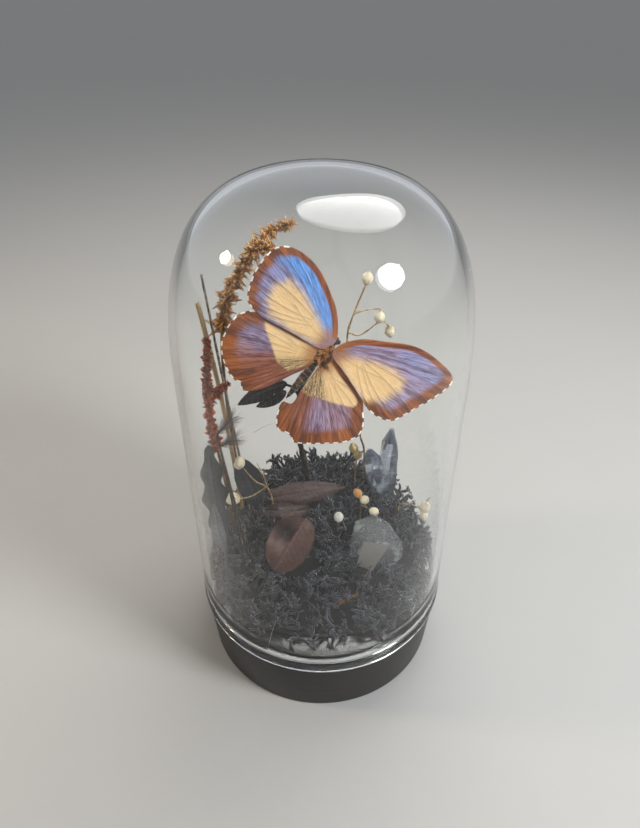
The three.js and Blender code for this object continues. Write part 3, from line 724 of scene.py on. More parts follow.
class GlassOperator(Operator):
    """Blows the clear dome with its thick polished rim"""

    bl_idname = "glass_dome.glass"
    bl_label = "Glass dome"

    def execute(self, context):
        size = context.scene.dome_case
        outer, wall = size.glass_radius / MM, size.glass_wall / MM
        foot = size.base_height / MM + UNDER_RIM
        shoulder = foot + size.glass_straight / MM
        crown = size.glass_crown / MM
        rim, swell_out, swell_in = 4.3, 0.4, 1.1
        inner = outer - wall
        wall_steps = [k / 8 for k in range(1, 8)]
        profile = crown_profile(inner, crown - wall, shoulder, 56)[::-1]
        profile += [(inner, shoulder + (foot + rim - shoulder) * t) for t in wall_steps]
        profile += [(inner - swell_in * sin(pi * t) ** 2, foot + rim * (1 - t))
                    for t in (0, 0.12, 0.25, 0.38, 0.5, 0.62, 0.75, 0.86)]
        profile += [
            (inner + 0.25, foot + 0.12), (inner + 0.8, foot), (outer - 0.7, foot), (outer - 0.2, foot + 0.12),
        ]
        profile += [(outer + swell_out * sin(pi * t) ** 0.7, foot + rim * t)
                    for t in (0.1, 0.25, 0.4, 0.55, 0.7, 0.85, 1)]
        profile += [(outer, foot + rim + (shoulder - foot - rim) * t) for t in wall_steps]
        profile += crown_profile(outer, crown, shoulder, 56)
        shape = Shape()
        lathe(shape, profile, 144)
        shape.faces = [face[::-1] for face in shape.faces]
        finish = Finish(
            "clear_blown_glass", Base_Color=(0.985, 0.995, 0.99), Roughness=0.0, IOR=1.3,
            Transmission_Weight=1.0,
        )
        finish.set("Normal", finish.bump(finish.noise(26, 1, 0.4), 0.05))
        dome = place("blown_glass_dome", shape.mesh("blown_glass_dome"), (finish.material,))
        hand_over(outward(dome), "dome_glass", "glass_dome")
        return {"FINISHED"}


GLUE_STRAND = [(-12.3, -29.8, 37.0), (-16.9, -32.1, 34.5), (-18.8, -35.8, 31.5), (-20.4, -42.8, 28.8)]
WHISKER = [(-25.6, 2, 99.0), (-21.9, 3, 101.0), (-17.8, 4, 102.2)]


class DustOperator(Operator):
    """Settles dust on the glass and leaves two strands of glue"""

    bl_idname = "glass_dome.dust"
    bl_label = "Dust and strands"

    def execute(self, context):
        size = context.scene.dome_case
        chance = random.Random(4)
        outer = size.glass_radius / MM
        foot = (size.base_height + size.glass_straight) / MM + UNDER_RIM
        crown = crown_profile(outer, size.glass_crown / MM, foot, 60)
        specks, on_wall = 170, 0.45
        corners = [(1, 0, 0), (0, 1, 0), (-1, 0, 0), (0, -1, 0), (0, 0, 0.8), (0, 0, -0.8)]
        ring = ((0, 1), (1, 2), (2, 3), (3, 0))
        shape = Shape()
        for _ in range(specks):
            turn = chance.uniform(0, TURN)
            if chance.random() < on_wall:
                radius, height = outer, chance.uniform(34, foot)
            else:
                radius, height = crown[chance.randrange(2, 52)]
            at = Vector((radius * cos(turn), radius * sin(turn), height))
            grain = chance.uniform(0.05, 0.16)
            points = [at + Vector(corner) * grain for corner in corners]
            shape.add(points, [(a, b, 4) for a, b in ring] + [(b, a, 5) for a, b in ring])
        dust = Finish("pale_dust", Roughness=0.9)
        dust.done(dust.blend(dust.noise(3, 2), tone(0x8F8A84), tone(0xE8E4DC)))
        deliver(shape, "glass_dust", (dust.material,), "dome_glass")
        strands = Shape()
        add_tube(strands, GLUE_STRAND, (0.1, 0.05), 6, 30, 0.2, 1)
        add_tube(strands, WHISKER, (0.09, 0.05), 6, 20, 0.2, 2)
        glue = Finish("dried_glue", Roughness=0.25, Transmission_Weight=0.5, IOR=1.45)
        glue.done(glue.blend(glue.noise(1.5, 2), tone(0xB8B2A8), tone(0xEDE8DE)))
        deliver(strands, "glue_strands", (glue.material,), "black_moss")
        return {"FINISHED"}


def outward(made):
    """Turns a closed piece's faces outwards."""
    body = bmesh.new()
    body.from_mesh(made.data)
    bmesh.ops.remove_doubles(body, verts=body.verts, dist=1e-7)
    bmesh.ops.recalc_face_normals(body, faces=body.faces)
    body.to_mesh(made.data)
    body.free()
    return made


# Moss

LUMP = 0.9


def moss_edge(settings, turn):
    front = max(0.0, -sin(turn))
    return (settings.radius - settings.front_inset * front ** 3) / MM


def moss_height(settings, x, y):
    share = hypot(x, y) / (settings.radius / MM)
    lumps = sin(0.31 * x + 1.3) * cos(0.37 * y) + sin(0.53 * x - 0.41 * y)
    side = 4 * (x / (settings.radius / MM)) ** 2
    return settings.middle / MM + 0.34 * y + 4 * (1 - share ** 2) + side + LUMP * lumps


def moss_finish(settings):
    finish = Finish("black_moss", Sheen_Weight=0.25, Sheen_Roughness=0.6, Specular_IOR_Level=0.3)
    tip = finish.value("tip")
    patch = finish.noise(9, 3)
    fine = finish.noise(0.5, 3, 0.6)
    across = finish.node("ShaderNodeSeparateXYZ", {"Vector": finish.where}).outputs["X"]
    # Painted warm lamp light: the moss's lit colour turns brown towards the left side.
    left = finish.between(across, -0.044, -0.008, 0.85, 0.05)
    brown = finish.blend(left, settings.colour_light, tone(0x4B3730))
    light = finish.blend(finish.between(patch, 0.35, 0.7), brown, scaled(settings.colour_light, 0.45))
    # Painted light and shade: the tips take the lit colour, and the moss deep down and the bed take the dark
    # painted shade.
    lit = finish.times(finish.math("POWER", tip, 1.6), finish.between(fine, 0.2, 0.8, 0.5, 1.3))
    skin = finish.blend(lit, settings.deep_shade, light)
    return finish.done(skin, (fine, 0.25, 0.6), finish.bump(fine, 0.12))


def moss_sprig(seed):
    """A forking sprig of reindeer moss, about 8 mm high, on its foot at the origin."""
    chance = random.Random(seed)
    shape = Shape()

    def branch(foot, heading, reach, radius, level):
        bend = Vector([chance.uniform(-1, 1) for _ in range(3)]) * 0.5
        tip = foot + (heading + bend * 0.6).normalized() * reach
        ends = [(foot, radius), (tip, radius * (0.86 if level < 2 else 0.45))]
        if level:
            ends.insert(1, (foot.lerp(tip, 0.55) + bend * reach * 0.5, radius * 0.92))
        flat = chance.uniform(0.55, 1.0)
        rings = []
        for at, width in ends:
            side = heading.orthogonal().normalized()
            rise = heading.cross(side)
            rings.append([
                at + (side * cos(a) + rise * sin(a) * flat) * width
                for a in (0.4, 1.97, 3.54, 5.11)
            ])
        first = len(shape.faces)
        # How far out along the sprig each ring lies, which the moss finish turns into painted light and
        # shade.
        tips = [(level + k / (len(ends) - 1)) / 3 for k in range(len(ends)) for _ in range(4)]
        add_rings(shape, rings, close=level == 2, tip=tips)
        if level == 2:
            del shape.faces[first + 8:first + 12], shape.finishes[first + 8:first + 12]
            return
        for k in range(2 if level else chance.choice((2, 3))):
            spread = Vector([chance.uniform(-1, 1) for _ in range(3)])
            turned = (heading + spread * 0.95).normalized()
            branch(tip, turned, reach * chance.uniform(0.7, 1.05), radius * 0.84, level + 1)

    branch(Vector((0, 0, -0.8)), Vector((0, 0, 1)), 3.4, 0.72, 0)
    return shape.mesh(f"moss_sprig_{seed}")


def keep_out_object(*nodes):
    """The CAD solids of some nodes as one object that other things keep clear of."""
    whole = bmesh.new()
    for node in nodes:
        whole.from_mesh(bpy.data.objects[node].data)
    bmesh.ops.remove_doubles(whole, verts=whole.verts, dist=1e-6)
    mesh = bpy.data.meshes.new("keep_out")
    whole.to_mesh(mesh)
    whole.free()
    return place("keep_out", mesh)


class MossOperator(Operator):
    """Grows the mound of black reindeer moss"""

    bl_idname = "glass_dome.moss"
    bl_label = "Moss"

    def execute(self, context):
        settings = context.scene.dome_moss
        finish = moss_finish(settings)
        sunk, floor, sides, sprig_kinds = 3.4, 28.5, 72, 11
        levels = [(0.9, 0), (0.94, 0.3), (0.94, 0.7), (0.88, 1)]
        levels += [(0.88 * (1 - k / 12), 1) for k in range(1, 12)]
        rings = []
        for reach, rise in levels:
            ring = []
            for turn in spins(sides):
                r = moss_edge(settings, turn) * reach
                x, y = r * cos(turn), r * sin(turn)
                top = moss_height(settings, x, y) - sunk
                rough = 0.7 * noise.noise(Vector((x, y, 0)) * 0.35) * rise
                ring.append(Vector((x, y, floor + (top - floor) * rise + rough)))
            rings.append(ring)
        bed_shape = Shape()
        # The bed gets no tip value, so the moss finish paints it in the dark painted shade.
        add_rings(bed_shape, rings, tip=0.0)
        bed = place("moss_bed_soil", bed_shape.mesh("moss_bed_soil"), (finish,))
        hand_over(outward(bed), "black_moss", "moss_bed")

        lying = ("quartz_lump", "quartz_point", "pebbly_leaf", "crumpled_leaf", "cupped_leaf", "short_twig")
        keep_out = keep_out_object(*lying)
        sprigs = [moss_sprig(seed) for seed in range(sprig_kinds)]
        tree = surface_tree()
        for quarter in range(4):

            def in_quarter(face):
                middle = face.calc_center_median()
                turn = atan2(middle.y, middle.x) % TURN
                return int(turn / (0.5 * pi)) == quarter and middle.z >= (floor + 0.3) * MM

            name = f"moss_{quarter}"
            mesh = tree.grow(
                part_of(bed.data, in_quarter), name, sprigs, amount=4 * settings.sprigs / area(bed.data),
                seed=11 + quarter, smallest=0.65, largest=1.45, comb=(0, 0, 0.2), untidy=1.1,
                keep_out=keep_out, room=1.1 * MM, reach=3.2 * MM, material=finish,
            )
            hand_over(place(name, mesh), "black_moss", "moss_bed")
        discard(keep_out)
        return {"FINISHED"}


# Butterfly

THORAX = (1.8, 0, 135.3)
BODY_DROP = -0.9

FOREWING_LEFT = [
    (1.6, -6.5), (7.8, -11.6), (14.7, -14.6), (22.8, -17), (29.9, -16.9), (35.1, -15.1), (37.9, -12),
    (38.4, -8), (37.8, -2.8), (36.2, 1.5), (34, 5), (31, 6.3), (24.7, 6), (13.8, 3.5), (3.5, 1.4),
    (0.2, -2.5),
]
HINDWING_LEFT = [
    (2, 1.5), (13, 3.4), (24.7, 6), (28.8, 6.5), (31.6, 9.9), (32.2, 13.6), (31.4, 17.5), (29.8, 21),
    (26.5, 24.2), (21.7, 26.7), (17.7, 27.6), (15.4, 27), (12.9, 28.6), (8.7, 24.7), (5.8, 19.7),
    (3.2, 13.7), (1, 8.8),
]
FOREWING_RIGHT = [
    (1.8, -3.7), (4, -8.2), (7.4, -11.9), (12, -15.2), (18.8, -20), (24.6, -22.3), (31.2, -23), (36, -22.7),
    (38.2, -21), (38.2, -17.5), (37, -12), (35.3, -6.6), (33.5, -0.8), (32, 2.4), (28.3, 4.5), (23.1, 4.9),
    (16, 3), (8.4, 1.2), (2.6, 0.2),
]
HINDWING_RIGHT = [
    (1.6, 0.6), (10, 1.6), (19.1, 3.5), (23.4, 7), (26.2, 10), (27.4, 13.6), (26.4, 16.6), (24.3, 20),
    (17.4, 27), (12.9, 30.4), (10.3, 29.6), (8.3, 30), (6.1, 31), (3.7, 29.6), (1.4, 26.1), (0.7, 22.9),
    (3.4, 21), (2.4, 15), (1.6, 7),
]

# Each wing: its outline, the outline points where its outer edge starts and ends, its root and
# cell, the patch of cream (points round it), the streak of blue (a line), and how strong it is.
# The blue is partly the wings' own iridescent colour and partly a painted reflection: its strength is high
# only on the left forewing.
WINGS = {
    "forewing_left": {
        "outline": FOREWING_LEFT, "outer": (5, 11), "side": 1, "lift": 0.5,
        "root": (2.2, -2.6), "cell": ((20, -12), (20.5, -3.5)),
        "patch": [(4, -3.4), (13, -6.2), (21.5, -8.4), (27.6, -8.2), (30, -3.2), (28.6, 1.4), (24.3, 4.4),
                  (13, 3.2), (4.6, 0.8)],
        "streak": [(3.5, -4), (12.2, -8.2), (20.3, -11.6), (28.7, -14), (34.3, -13.6)], "blue": 1.0,
        "costa": 1.9, "border": 2.1, "soft": 2.1, "violet": 0.9, "shone": (3.0, 4.0, 1.0, 0.0),
    },
    "hindwing_left": {
        "outline": HINDWING_LEFT, "outer": (3, 12), "side": 1, "lift": -0.5,
        "root": (2.2, 3.4), "cell": ((13.5, 7.4), (11, 13)),
        "patch": [(1, 2), (13, 3), (25.4, 5.6), (21.6, 8.8), (16.2, 11.2), (10.6, 14.2), (5.4, 14), (2, 9)],
        "streak": [(20, 12), (28, 12)], "blue": 0.15,
        "costa": 0.8, "border": 3.4, "soft": 0.5, "violet": 0.62, "shone": (0.42, 0.74, 1.0, 0.12),
    },
    "forewing_right": {
        "outline": FOREWING_RIGHT, "outer": (8, 15), "side": -1, "lift": 0.5,
        "root": (2.6, -2), "cell": ((18, -14.5), (20, -6)),
        "patch": [(4.4, -1), (9, -5), (15.1, -8.4), (21, -10.6), (25.6, -10.6), (27.4, -7.6), (25.6, -1),
                  (21, 3.6), (14, 2.8), (5, 0.6)],
        "streak": [(22, -17), (32, -18.5)], "blue": 0.25,
        "costa": 1.8, "border": 2.7, "soft": 2.1, "violet": 0.85, "shone": (3.0, 4.0, 1.0, 0.0),
    },
    "hindwing_right": {
        "outline": HINDWING_RIGHT, "outer": (3, 14), "side": -1, "lift": -0.5,
        "root": (2, 3), "cell": ((11, 7.4), (8.6, 13)),
        "patch": [(1, 1), (10, 1), (20.2, 3.4), (19.4, 8), (15.5, 10.4), (10.1, 13.2), (5.6, 15.6), (2, 16)],
        "streak": [(12, 18), (15, 24)], "blue": 0.1,
        "costa": 1.6, "border": 3.4, "soft": 0.5, "violet": 0.66, "shone": (0.86, 1.08, 1.0, 0.1),
    },
}


def butterfly_frame(settings):
    """The body's own frame: x towards the left wings, y towards the tail, z out of its back."""
    lean, turn = settings.lean_back, settings.body_turn
    back = Vector((0, -cos(lean), sin(lean)))
    rise = Vector((0, sin(lean), cos(lean)))
    tail = Vector((-sin(turn), 0, 0)) - rise * cos(turn)
    across = tail.cross(back)
    made = Matrix((across, tail, back)).transposed().to_4x4()
    made.translation = Vector(THORAX)
    return made


def wing_frame(settings, wing):
    tilt = -settings.left_raised if wing["side"] > 0 else settings.right_raised
    hinge = Matrix.Rotation(tilt, 4, "Y") @ Matrix.Translation((0, 0, wing["lift"]))
    return butterfly_frame(settings) @ hinge


def dense_outline(points, spacing):
    """A closed smooth outline through the points, with the share of the whole at each point."""
    total = len(points)
    found, marks = [], []
    for k in range(total):
        a, b, c, d = (np.array(points[(k + i) % total], float) for i in (-1, 0, 1, 2))
        steps = max(2, int(np.linalg.norm(c - b) / spacing))
        even = 2 * a - 5 * b + 4 * c - d
        odd = 3 * b - a - 3 * c + d
        for i in range(steps):
            t = i / steps
            found.append(0.5 * (2 * b + (c - a) * t + even * t ** 2 + odd * t ** 3))
            marks.append(k + t)
    return np.array(found), np.array(marks)


def distance_to_line(points, line, closed=False):
    """Distance of many points to a broken line, and how far along it the nearest place is."""
    line = np.asarray(line, float)
    ends = np.roll(line, -1, axis=0) if closed else line[1:]
    starts = line if closed else line[:-1]
    best = np.full(len(points), 1e9)
    along = np.zeros(len(points))
    done = 0.0
    for start, end in zip(starts, ends):
        step = end - start
        size = np.hypot(*step)
        share = np.clip(((points - start) @ step) / max(size ** 2, 1e-9), 0, 1)
        gap = np.hypot(*(points - start - share[:, None] * step).T)
        nearer = gap < best
        best[nearer] = gap[nearer]
        along[nearer] = done + share[nearer] * size
        done += size
    return best, along


def inside(points, outline):
    """Whether each point lies inside a closed outline."""
    result = np.zeros(len(points), bool)
    x, y = points.T
    for (ax, ay), (bx, by) in zip(outline, np.roll(outline, -1, axis=0)):
        crosses = (ay > y) != (by > y)
        with np.errstate(divide="ignore", invalid="ignore"):
            at = ax + (y - ay) * (bx - ax) / (by - ay)
        result ^= crosses & (x < at)
    return result


def vein_lines(wing, outline, marks):
    """Veins from the root round the cell and on to the outer edge, as broken lines."""
    root = np.array(wing["root"], float)
    upper, lower = (np.array(p, float) for p in wing["cell"])
    first, last = wing["outer"]

    def bowed(start, end, bow):
        step = end - start
        square = np.array((-step[1], step[0])) * bow
        return [start + step * t + square * sin(pi * t) for t in np.linspace(0, 1, 9)]

    lines = [bowed(root, upper, -0.05), bowed(root, lower, 0.05)]
    number = 8
    for k in range(number):
        mark = first - 1.6 + (last - first + 1.9) * (k + 0.5) / number
        end = outline[np.argmin(abs(marks - mark))]
        share = min(1, max(0, (k - 0.5) / (number - 2.5)))
        start = root + (upper + (lower - upper) * share - root) * 0.55
        if k >= number - 1:
            start = root + (lower - root) * 0.45
        lines.append(bowed(start, end, 0.05 if k > number / 2 else -0.04))
    hem = outline[np.argmin(abs(marks - (last + 1)))]
    lines.append(bowed(root, 0.5 * (hem + outline[np.argmin(abs(marks - last))]), 0.04))
    return lines


def ease(value, low, high):
    t = np.clip((value - low) / (high - low), 0, 1)
    return t * t * (3 - 2 * t)


def wing_shape(settings, wing):
    """A thin blade with raised veins; the values at its points carry its markings."""
    spacing = 0.3
    outline, marks = dense_outline(wing["outline"], spacing)
    low, high = outline.min(axis=0), outline.max(axis=0)
    grid = []
    for row, y in enumerate(np.arange(low[1], high[1], spacing * 0.866)):
        shift = spacing / 2 if row % 2 else 0
        grid += [(x + shift, y) for x in np.arange(low[0], high[0], spacing)]
    grid = np.array(grid)
    edge, _ = distance_to_line(grid, outline, closed=True)
    grid = grid[inside(grid, outline) & (edge > spacing * 0.6)]
    flat = np.vstack((outline, grid))
    rim = [(k, (k + 1) % len(outline)) for k in range(len(outline))]
    corners, _, faces, *_ = delaunay_2d_cdt([Vector(p) for p in flat], rim, [], 1, 1e-6)
    flat = np.array([(p.x, p.y) for p in corners])

    first, last = wing["outer"]
    outer = outline[(marks >= first) & (marks <= last)]
    costa = outline[marks <= first + 0.4]
    rim_gap, _ = distance_to_line(flat, outline, closed=True)
    outer_gap, rim_along = distance_to_line(flat, outer)
    costa_gap, _ = distance_to_line(flat, costa)
    patch = np.array(wing["patch"], float)
    patch_gap, _ = distance_to_line(flat, patch, closed=True)
    patch_depth = np.where(inside(flat, patch), patch_gap, -patch_gap)
    streak_gap, _ = distance_to_line(flat, wing["streak"])
    vein_gap = np.full(len(flat), 1e9)
    for line in vein_lines(wing, outline, marks):
        vein_gap = np.minimum(vein_gap, distance_to_line(flat, line)[0])
    root = np.array(wing["root"], float)
    out = flat - root
    reach = np.hypot(*out.T)
    fan = np.arctan2(out[:, 1], out[:, 0] + 3)

    vein = np.exp(-((vein_gap / 0.19) ** 2))
    pleat = 0.16 * (1 - np.exp(-vein_gap / 1.4)) * ease(reach, 3, 16)
    waves = np.array([noise.noise(Vector((x * 0.12, y * 0.12, 3 * wing["lift"]))) for x, y in flat])
    middle = -pleat + 0.5 * waves * ease(reach, 4, 20) - 0.25 * ease(4 - outer_gap, 0, 4)
    half = 0.05 + 0.05 * ease(rim_gap, 0, 0.8)
    top = middle + half + 0.11 * vein
    bottom = middle - half - 0.05 * vein

    values = {
        "outer_gap": outer_gap, "rim_along": rim_along, "costa_gap": costa_gap, "patch_depth": patch_depth,
        "streak_gap": streak_gap, "vein": vein, "reach": reach, "fan": fan, "rim_gap": rim_gap,
    }
    place_of = wing_frame(settings, wing)
    shape = Shape()
    side = wing["side"]
    for level, under in ((top, 0.0), (bottom, 1.0)):
        points = [place_of @ Vector((side * x, y, z)) for (x, y), z in zip(flat, level)]
        turned = (side > 0) == (under > 0.5)
        shape.add(points, [f[::-1] if turned else f for f in faces], under=under, **values)
    used = {}
    for face in faces:
        for k, a in enumerate(face):
            b = face[(k + 1) % len(face)]
            used[(a, b)] = used.get((a, b), 0) + 1
    deep = len(flat)
    for a, b in used:
        if (b, a) not in used:
            shape.faces.append((b, a, a + deep, b + deep) if side > 0 else (a, b, b + deep, a + deep))
            shape.finishes.append(0)
    return shape


def wing_finish(settings, name, wing):
    finish = Finish(name + "_scales", Specular_IOR_Level=0.3, Sheen_Weight=0.12, Sheen_Roughness=0.35)
    value = finish.value
    reach, fan = value("reach"), value("fan")
    radial = finish.vector(finish.times(fan, 0.085), finish.times(reach, 0.00024))
    streaks = finish.noise(1.0, 4, 0.65, radial)
    coarse = finish.noise(4.6, 2, 0.55, radial)
    scales = finish.noise(0.16, 2, 0.7)
    cloud = finish.noise(4.5, 3)
    speck = finish.noise(0.42, 1, 0.5)

    # Brown ground, darker in fine radial streaks
    ground = finish.shades(finish.between(streaks, 0.3, 0.68), settings.brown, 0.34, 1.3)
    ground = finish.blend(finish.between(coarse, 0.45, 0.7, 0, 0.6), ground, tone(0xA8622A))
    ground = finish.blend(finish.between(coarse, 0.52, 0.32, 0, 0.6), ground, scaled(settings.brown, 0.35))

    # Violet shine, broken by the streaks and fading towards the borders
    outer = finish.plus(value("outer_gap"), finish.times(coarse, -2.4))
    shine = finish.between(outer, wing["border"] - 1.5, wing["border"] + 1.1, 0, 1)
    costa = finish.plus(value("costa_gap"), finish.times(streaks, -0.5))
    shine = finish.times(shine, finish.between(costa, wing["costa"] - 0.45, wing["costa"] + 0.25))
    broken = finish.between(streaks, 0.36, 0.6, 0.42 if wing["violet"] > 0.8 else 0.05, 1.0)
    broken = finish.times(broken, finish.between(coarse, 0.3, 0.62, 0.35, 1.1))
    share = finish.times(finish.times(shine, broken), finish.between(fan, *wing["shone"]))
    # The violet turns bluer with the strength of the painted blue reflection.
    violet = [a + (b - a) * 0.5 * wing["blue"] for a, b in zip(settings.lilac, settings.blue)]
    lilac = finish.shades(cloud, violet, 0.75, 1.2)
    skin = finish.blend(finish.times(share, wing["violet"]), ground, lilac)

    # Sky blue along the cell: the wings' own iridescent blue, with a painted reflection that makes it strong
    # on the left forewing only
    blue_gap = finish.plus(value("streak_gap"), finish.times(streaks, -2.6))
    blue = finish.times(finish.between(blue_gap, 0.2, 4.2, 1, 0), shine)
    blue = finish.times(blue, finish.between(coarse, 0.28, 0.5, 0.45 * wing["blue"], wing["blue"]))
    sky = finish.shades(finish.between(streaks, 0.32, 0.66), settings.blue, 0.5, 1.25)
    skin = finish.blend(blue, skin, sky)

    # Cream patch with a feathered edge
    ragged = finish.math("MULTIPLY_ADD", streaks, 2.2 * wing["soft"], value("patch_depth"))
    ragged = finish.plus(ragged, -1.1 * wing["soft"])
    patch = finish.between(ragged, -wing["soft"], wing["soft"])
    patch = finish.times(patch, finish.between(costa, wing["costa"] - 0.5, wing["costa"] + 0.5))
    cream = finish.shades(finish.between(streaks, 0.3, 0.7), settings.cream, 0.78, 1.12)
    hatching = finish.between(streaks, 0.56, 0.66)
    hatching = finish.times(hatching, finish.between(reach, 5, 17, 0.75, 0.1))
    cream = finish.blend(hatching, cream, scaled(settings.brown, 0.4))
    if wing["lift"] < 0:
        dusky = finish.times(finish.between(fan, 0.5, 0.8, 0, 0.9), finish.between(reach, 13, 21, 1, 0))
        rough = finish.between(finish.plus(streaks, finish.times(speck, 0.25)), 0.54, 0.66)
        cream = finish.blend(finish.times(dusky, rough), cream, tone(0x33231A))
    skin = finish.blend(patch, skin, cream)

    # Orange hair near the root, dark veins, specks, and the white dashes of the fringe
    root = finish.between(finish.math("MULTIPLY_ADD", scales, 3, reach), 3.2, 8.4, 0.75, 0)
    skin = finish.blend(root, skin, tone(0x9A6232))
    veins = finish.times(value("vein"), finish.between(reach, 4, 30, 0.2, 0.55))
    skin = finish.blend(veins, skin, tone(0x4A3022))
    skin = finish.blend(finish.between(speck, 0.7, 0.78, 0, 0.5), skin, tone(0x3A241A))
    dash = finish.math("SINE", finish.times(value("rim_along"), TURN / 3.1))
    dash = finish.between(finish.plus(dash, finish.times(speck, 0.8)), 0.1, 0.5)
    fringe = finish.times(finish.between(value("outer_gap"), 0.3, 0.55, 1, 0), dash)
    skin = finish.blend(fringe, skin, settings.fringe)

    # The underside is plainer and paler
    beneath = finish.blend(finish.noise(2.6, 4), tone(0x8B6B4C), tone(0xB79B78))
    beneath = finish.blend(finish.times(patch, 0.6), beneath, scaled(settings.cream, 0.8))
    beneath = finish.blend(veins, beneath, tone(0x5A4330))
    beneath = finish.blend(fringe, beneath, settings.fringe)
    skin = finish.blend(value("under"), skin, beneath)
    return finish.done(skin, (scales, 0.2, 0.45), finish.bump(scales, 0.03, finish.bump(streaks, 0.03)))


class WingsOperator(Operator):
    """Spreads the four wings"""

    bl_idname = "glass_dome.wings"
    bl_label = "Wings"

    def execute(self, context):
        settings = context.scene.dome_butterfly
        for name, wing in WINGS.items():
            deliver(wing_shape(settings, wing), name + "_blade", (wing_finish(settings, name, wing),),
                    "wing_scales", name)
        return {"FINISHED"}


def fur_finish():
    finish = Finish("insect_fur", Sheen_Weight=0.3, Specular_IOR_Level=0.3, Roughness=0.75)
    tail = finish.value("tail")
    patchy = finish.noise(0.8, 3)
    ring = finish.math("SINE", finish.times(tail, TURN / 2.1))
    ring = finish.math("MULTIPLY_ADD", patchy, 4.4, finish.math("SUBTRACT", ring, 2.4))
    band = finish.times(finish.between(ring, 0.45, 0.95), finish.between(tail, 6.5, 8, 0, 0.45))
    dark = finish.blend(patchy, tone(0x17100C), tone(0x3E2A1D))
    tan = finish.between(finish.noise(1.6, 2), 0.48, 0.62, 0, 0.75)
    tan = finish.times(tan, finish.between(tail, -4, 7, 1, 0.25))
    fur = finish.blend(tan, dark, tone(0xB0763C))
    skin = finish.blend(band, fur, tone(0x9B8F80))
    return finish.done(skin, None, finish.bump(finish.noise(0.25, 2), 0.06))


def ruff_finish():
    finish = Finish("tan_fur", Sheen_Weight=0.3, Specular_IOR_Level=0.3, Roughness=0.7)
    patchy = finish.noise(1.8, 2)
    fur = finish.blend(finish.between(patchy, 0.38, 0.62), tone(0x5A3820), tone(0xCE8E4C))
    skin = finish.blend(finish.between(finish.noise(0.5, 2), 0.55, 0.7, 0, 0.6), fur, tone(0x1C120C))
    return finish.done(skin, None, finish.bump(finish.noise(0.25, 2), 0.04))


def skin_finish():
    finish = Finish("insect_shell", Specular_IOR_Level=0.5, Roughness=0.4)
    cloud = finish.noise(0.6, 3)
    return finish.done(finish.blend(cloud, tone(0x140C08), tone(0x35231A)), None, finish.bump(cloud, 0.05))


def eye_finish():
    finish = Finish("insect_eye", Coat_Weight=0.5, Coat_Roughness=0.05, Roughness=0.2)
    facets = finish.cells(0.12)
    skin = finish.blend(facets, tone(0x1A0F0A), tone(0x4A2E20))
    return finish.done(skin, None, finish.bump(facets, 0.02))


BODY_STATIONS = [
    (-5.9, 0.5), (-5.2, 1.3), (-4, 1.45), (-3.2, 1.0), (-2, 1.9), (-0.5, 2.35), (1, 2.45), (3, 2.3),
    (4.6, 2.0), (6.4, 1.15), (7.6, 1.45), (8.5, 1.6), (12, 1.8), (16, 1.5), (19.5, 0.95), (21.3, 0.35),
]


def body_station(y):
    """Radius and bow of the body at a distance towards its tail."""
    for (a, ra), (b, rb) in zip(BODY_STATIONS, BODY_STATIONS[1:]):
        if y <= b:
            t = (y - a) / (b - a)
            t = t * t * (3 - 2 * t)
            return ra + (rb - ra) * t, -0.05 * max(0, y - 6)
    return BODY_STATIONS[-1][1], -0.05 * (y - 6)


def hair(size, width, curl):
    """A curved tapering hair along +Z, on its foot at the origin; sizes in millimetres."""
    shape = Shape()
    stations = (0, 0.4, 0.75, 1)
    rings = []
    for t in stations:
        bend = curl * size * t * t
        wide = width * (1 - t) ** 0.6 + 0.004
        rings.append([Vector((wide * cos(a) + bend, wide * sin(a), size * t)) for a in spins(3)])
    add_rings(shape, rings, close=False, along=[t for t in stations for _ in range(3)])
    shape.faces.append((9, 10, 11))
    shape.finishes.append(0)
    return shape.mesh("hair")


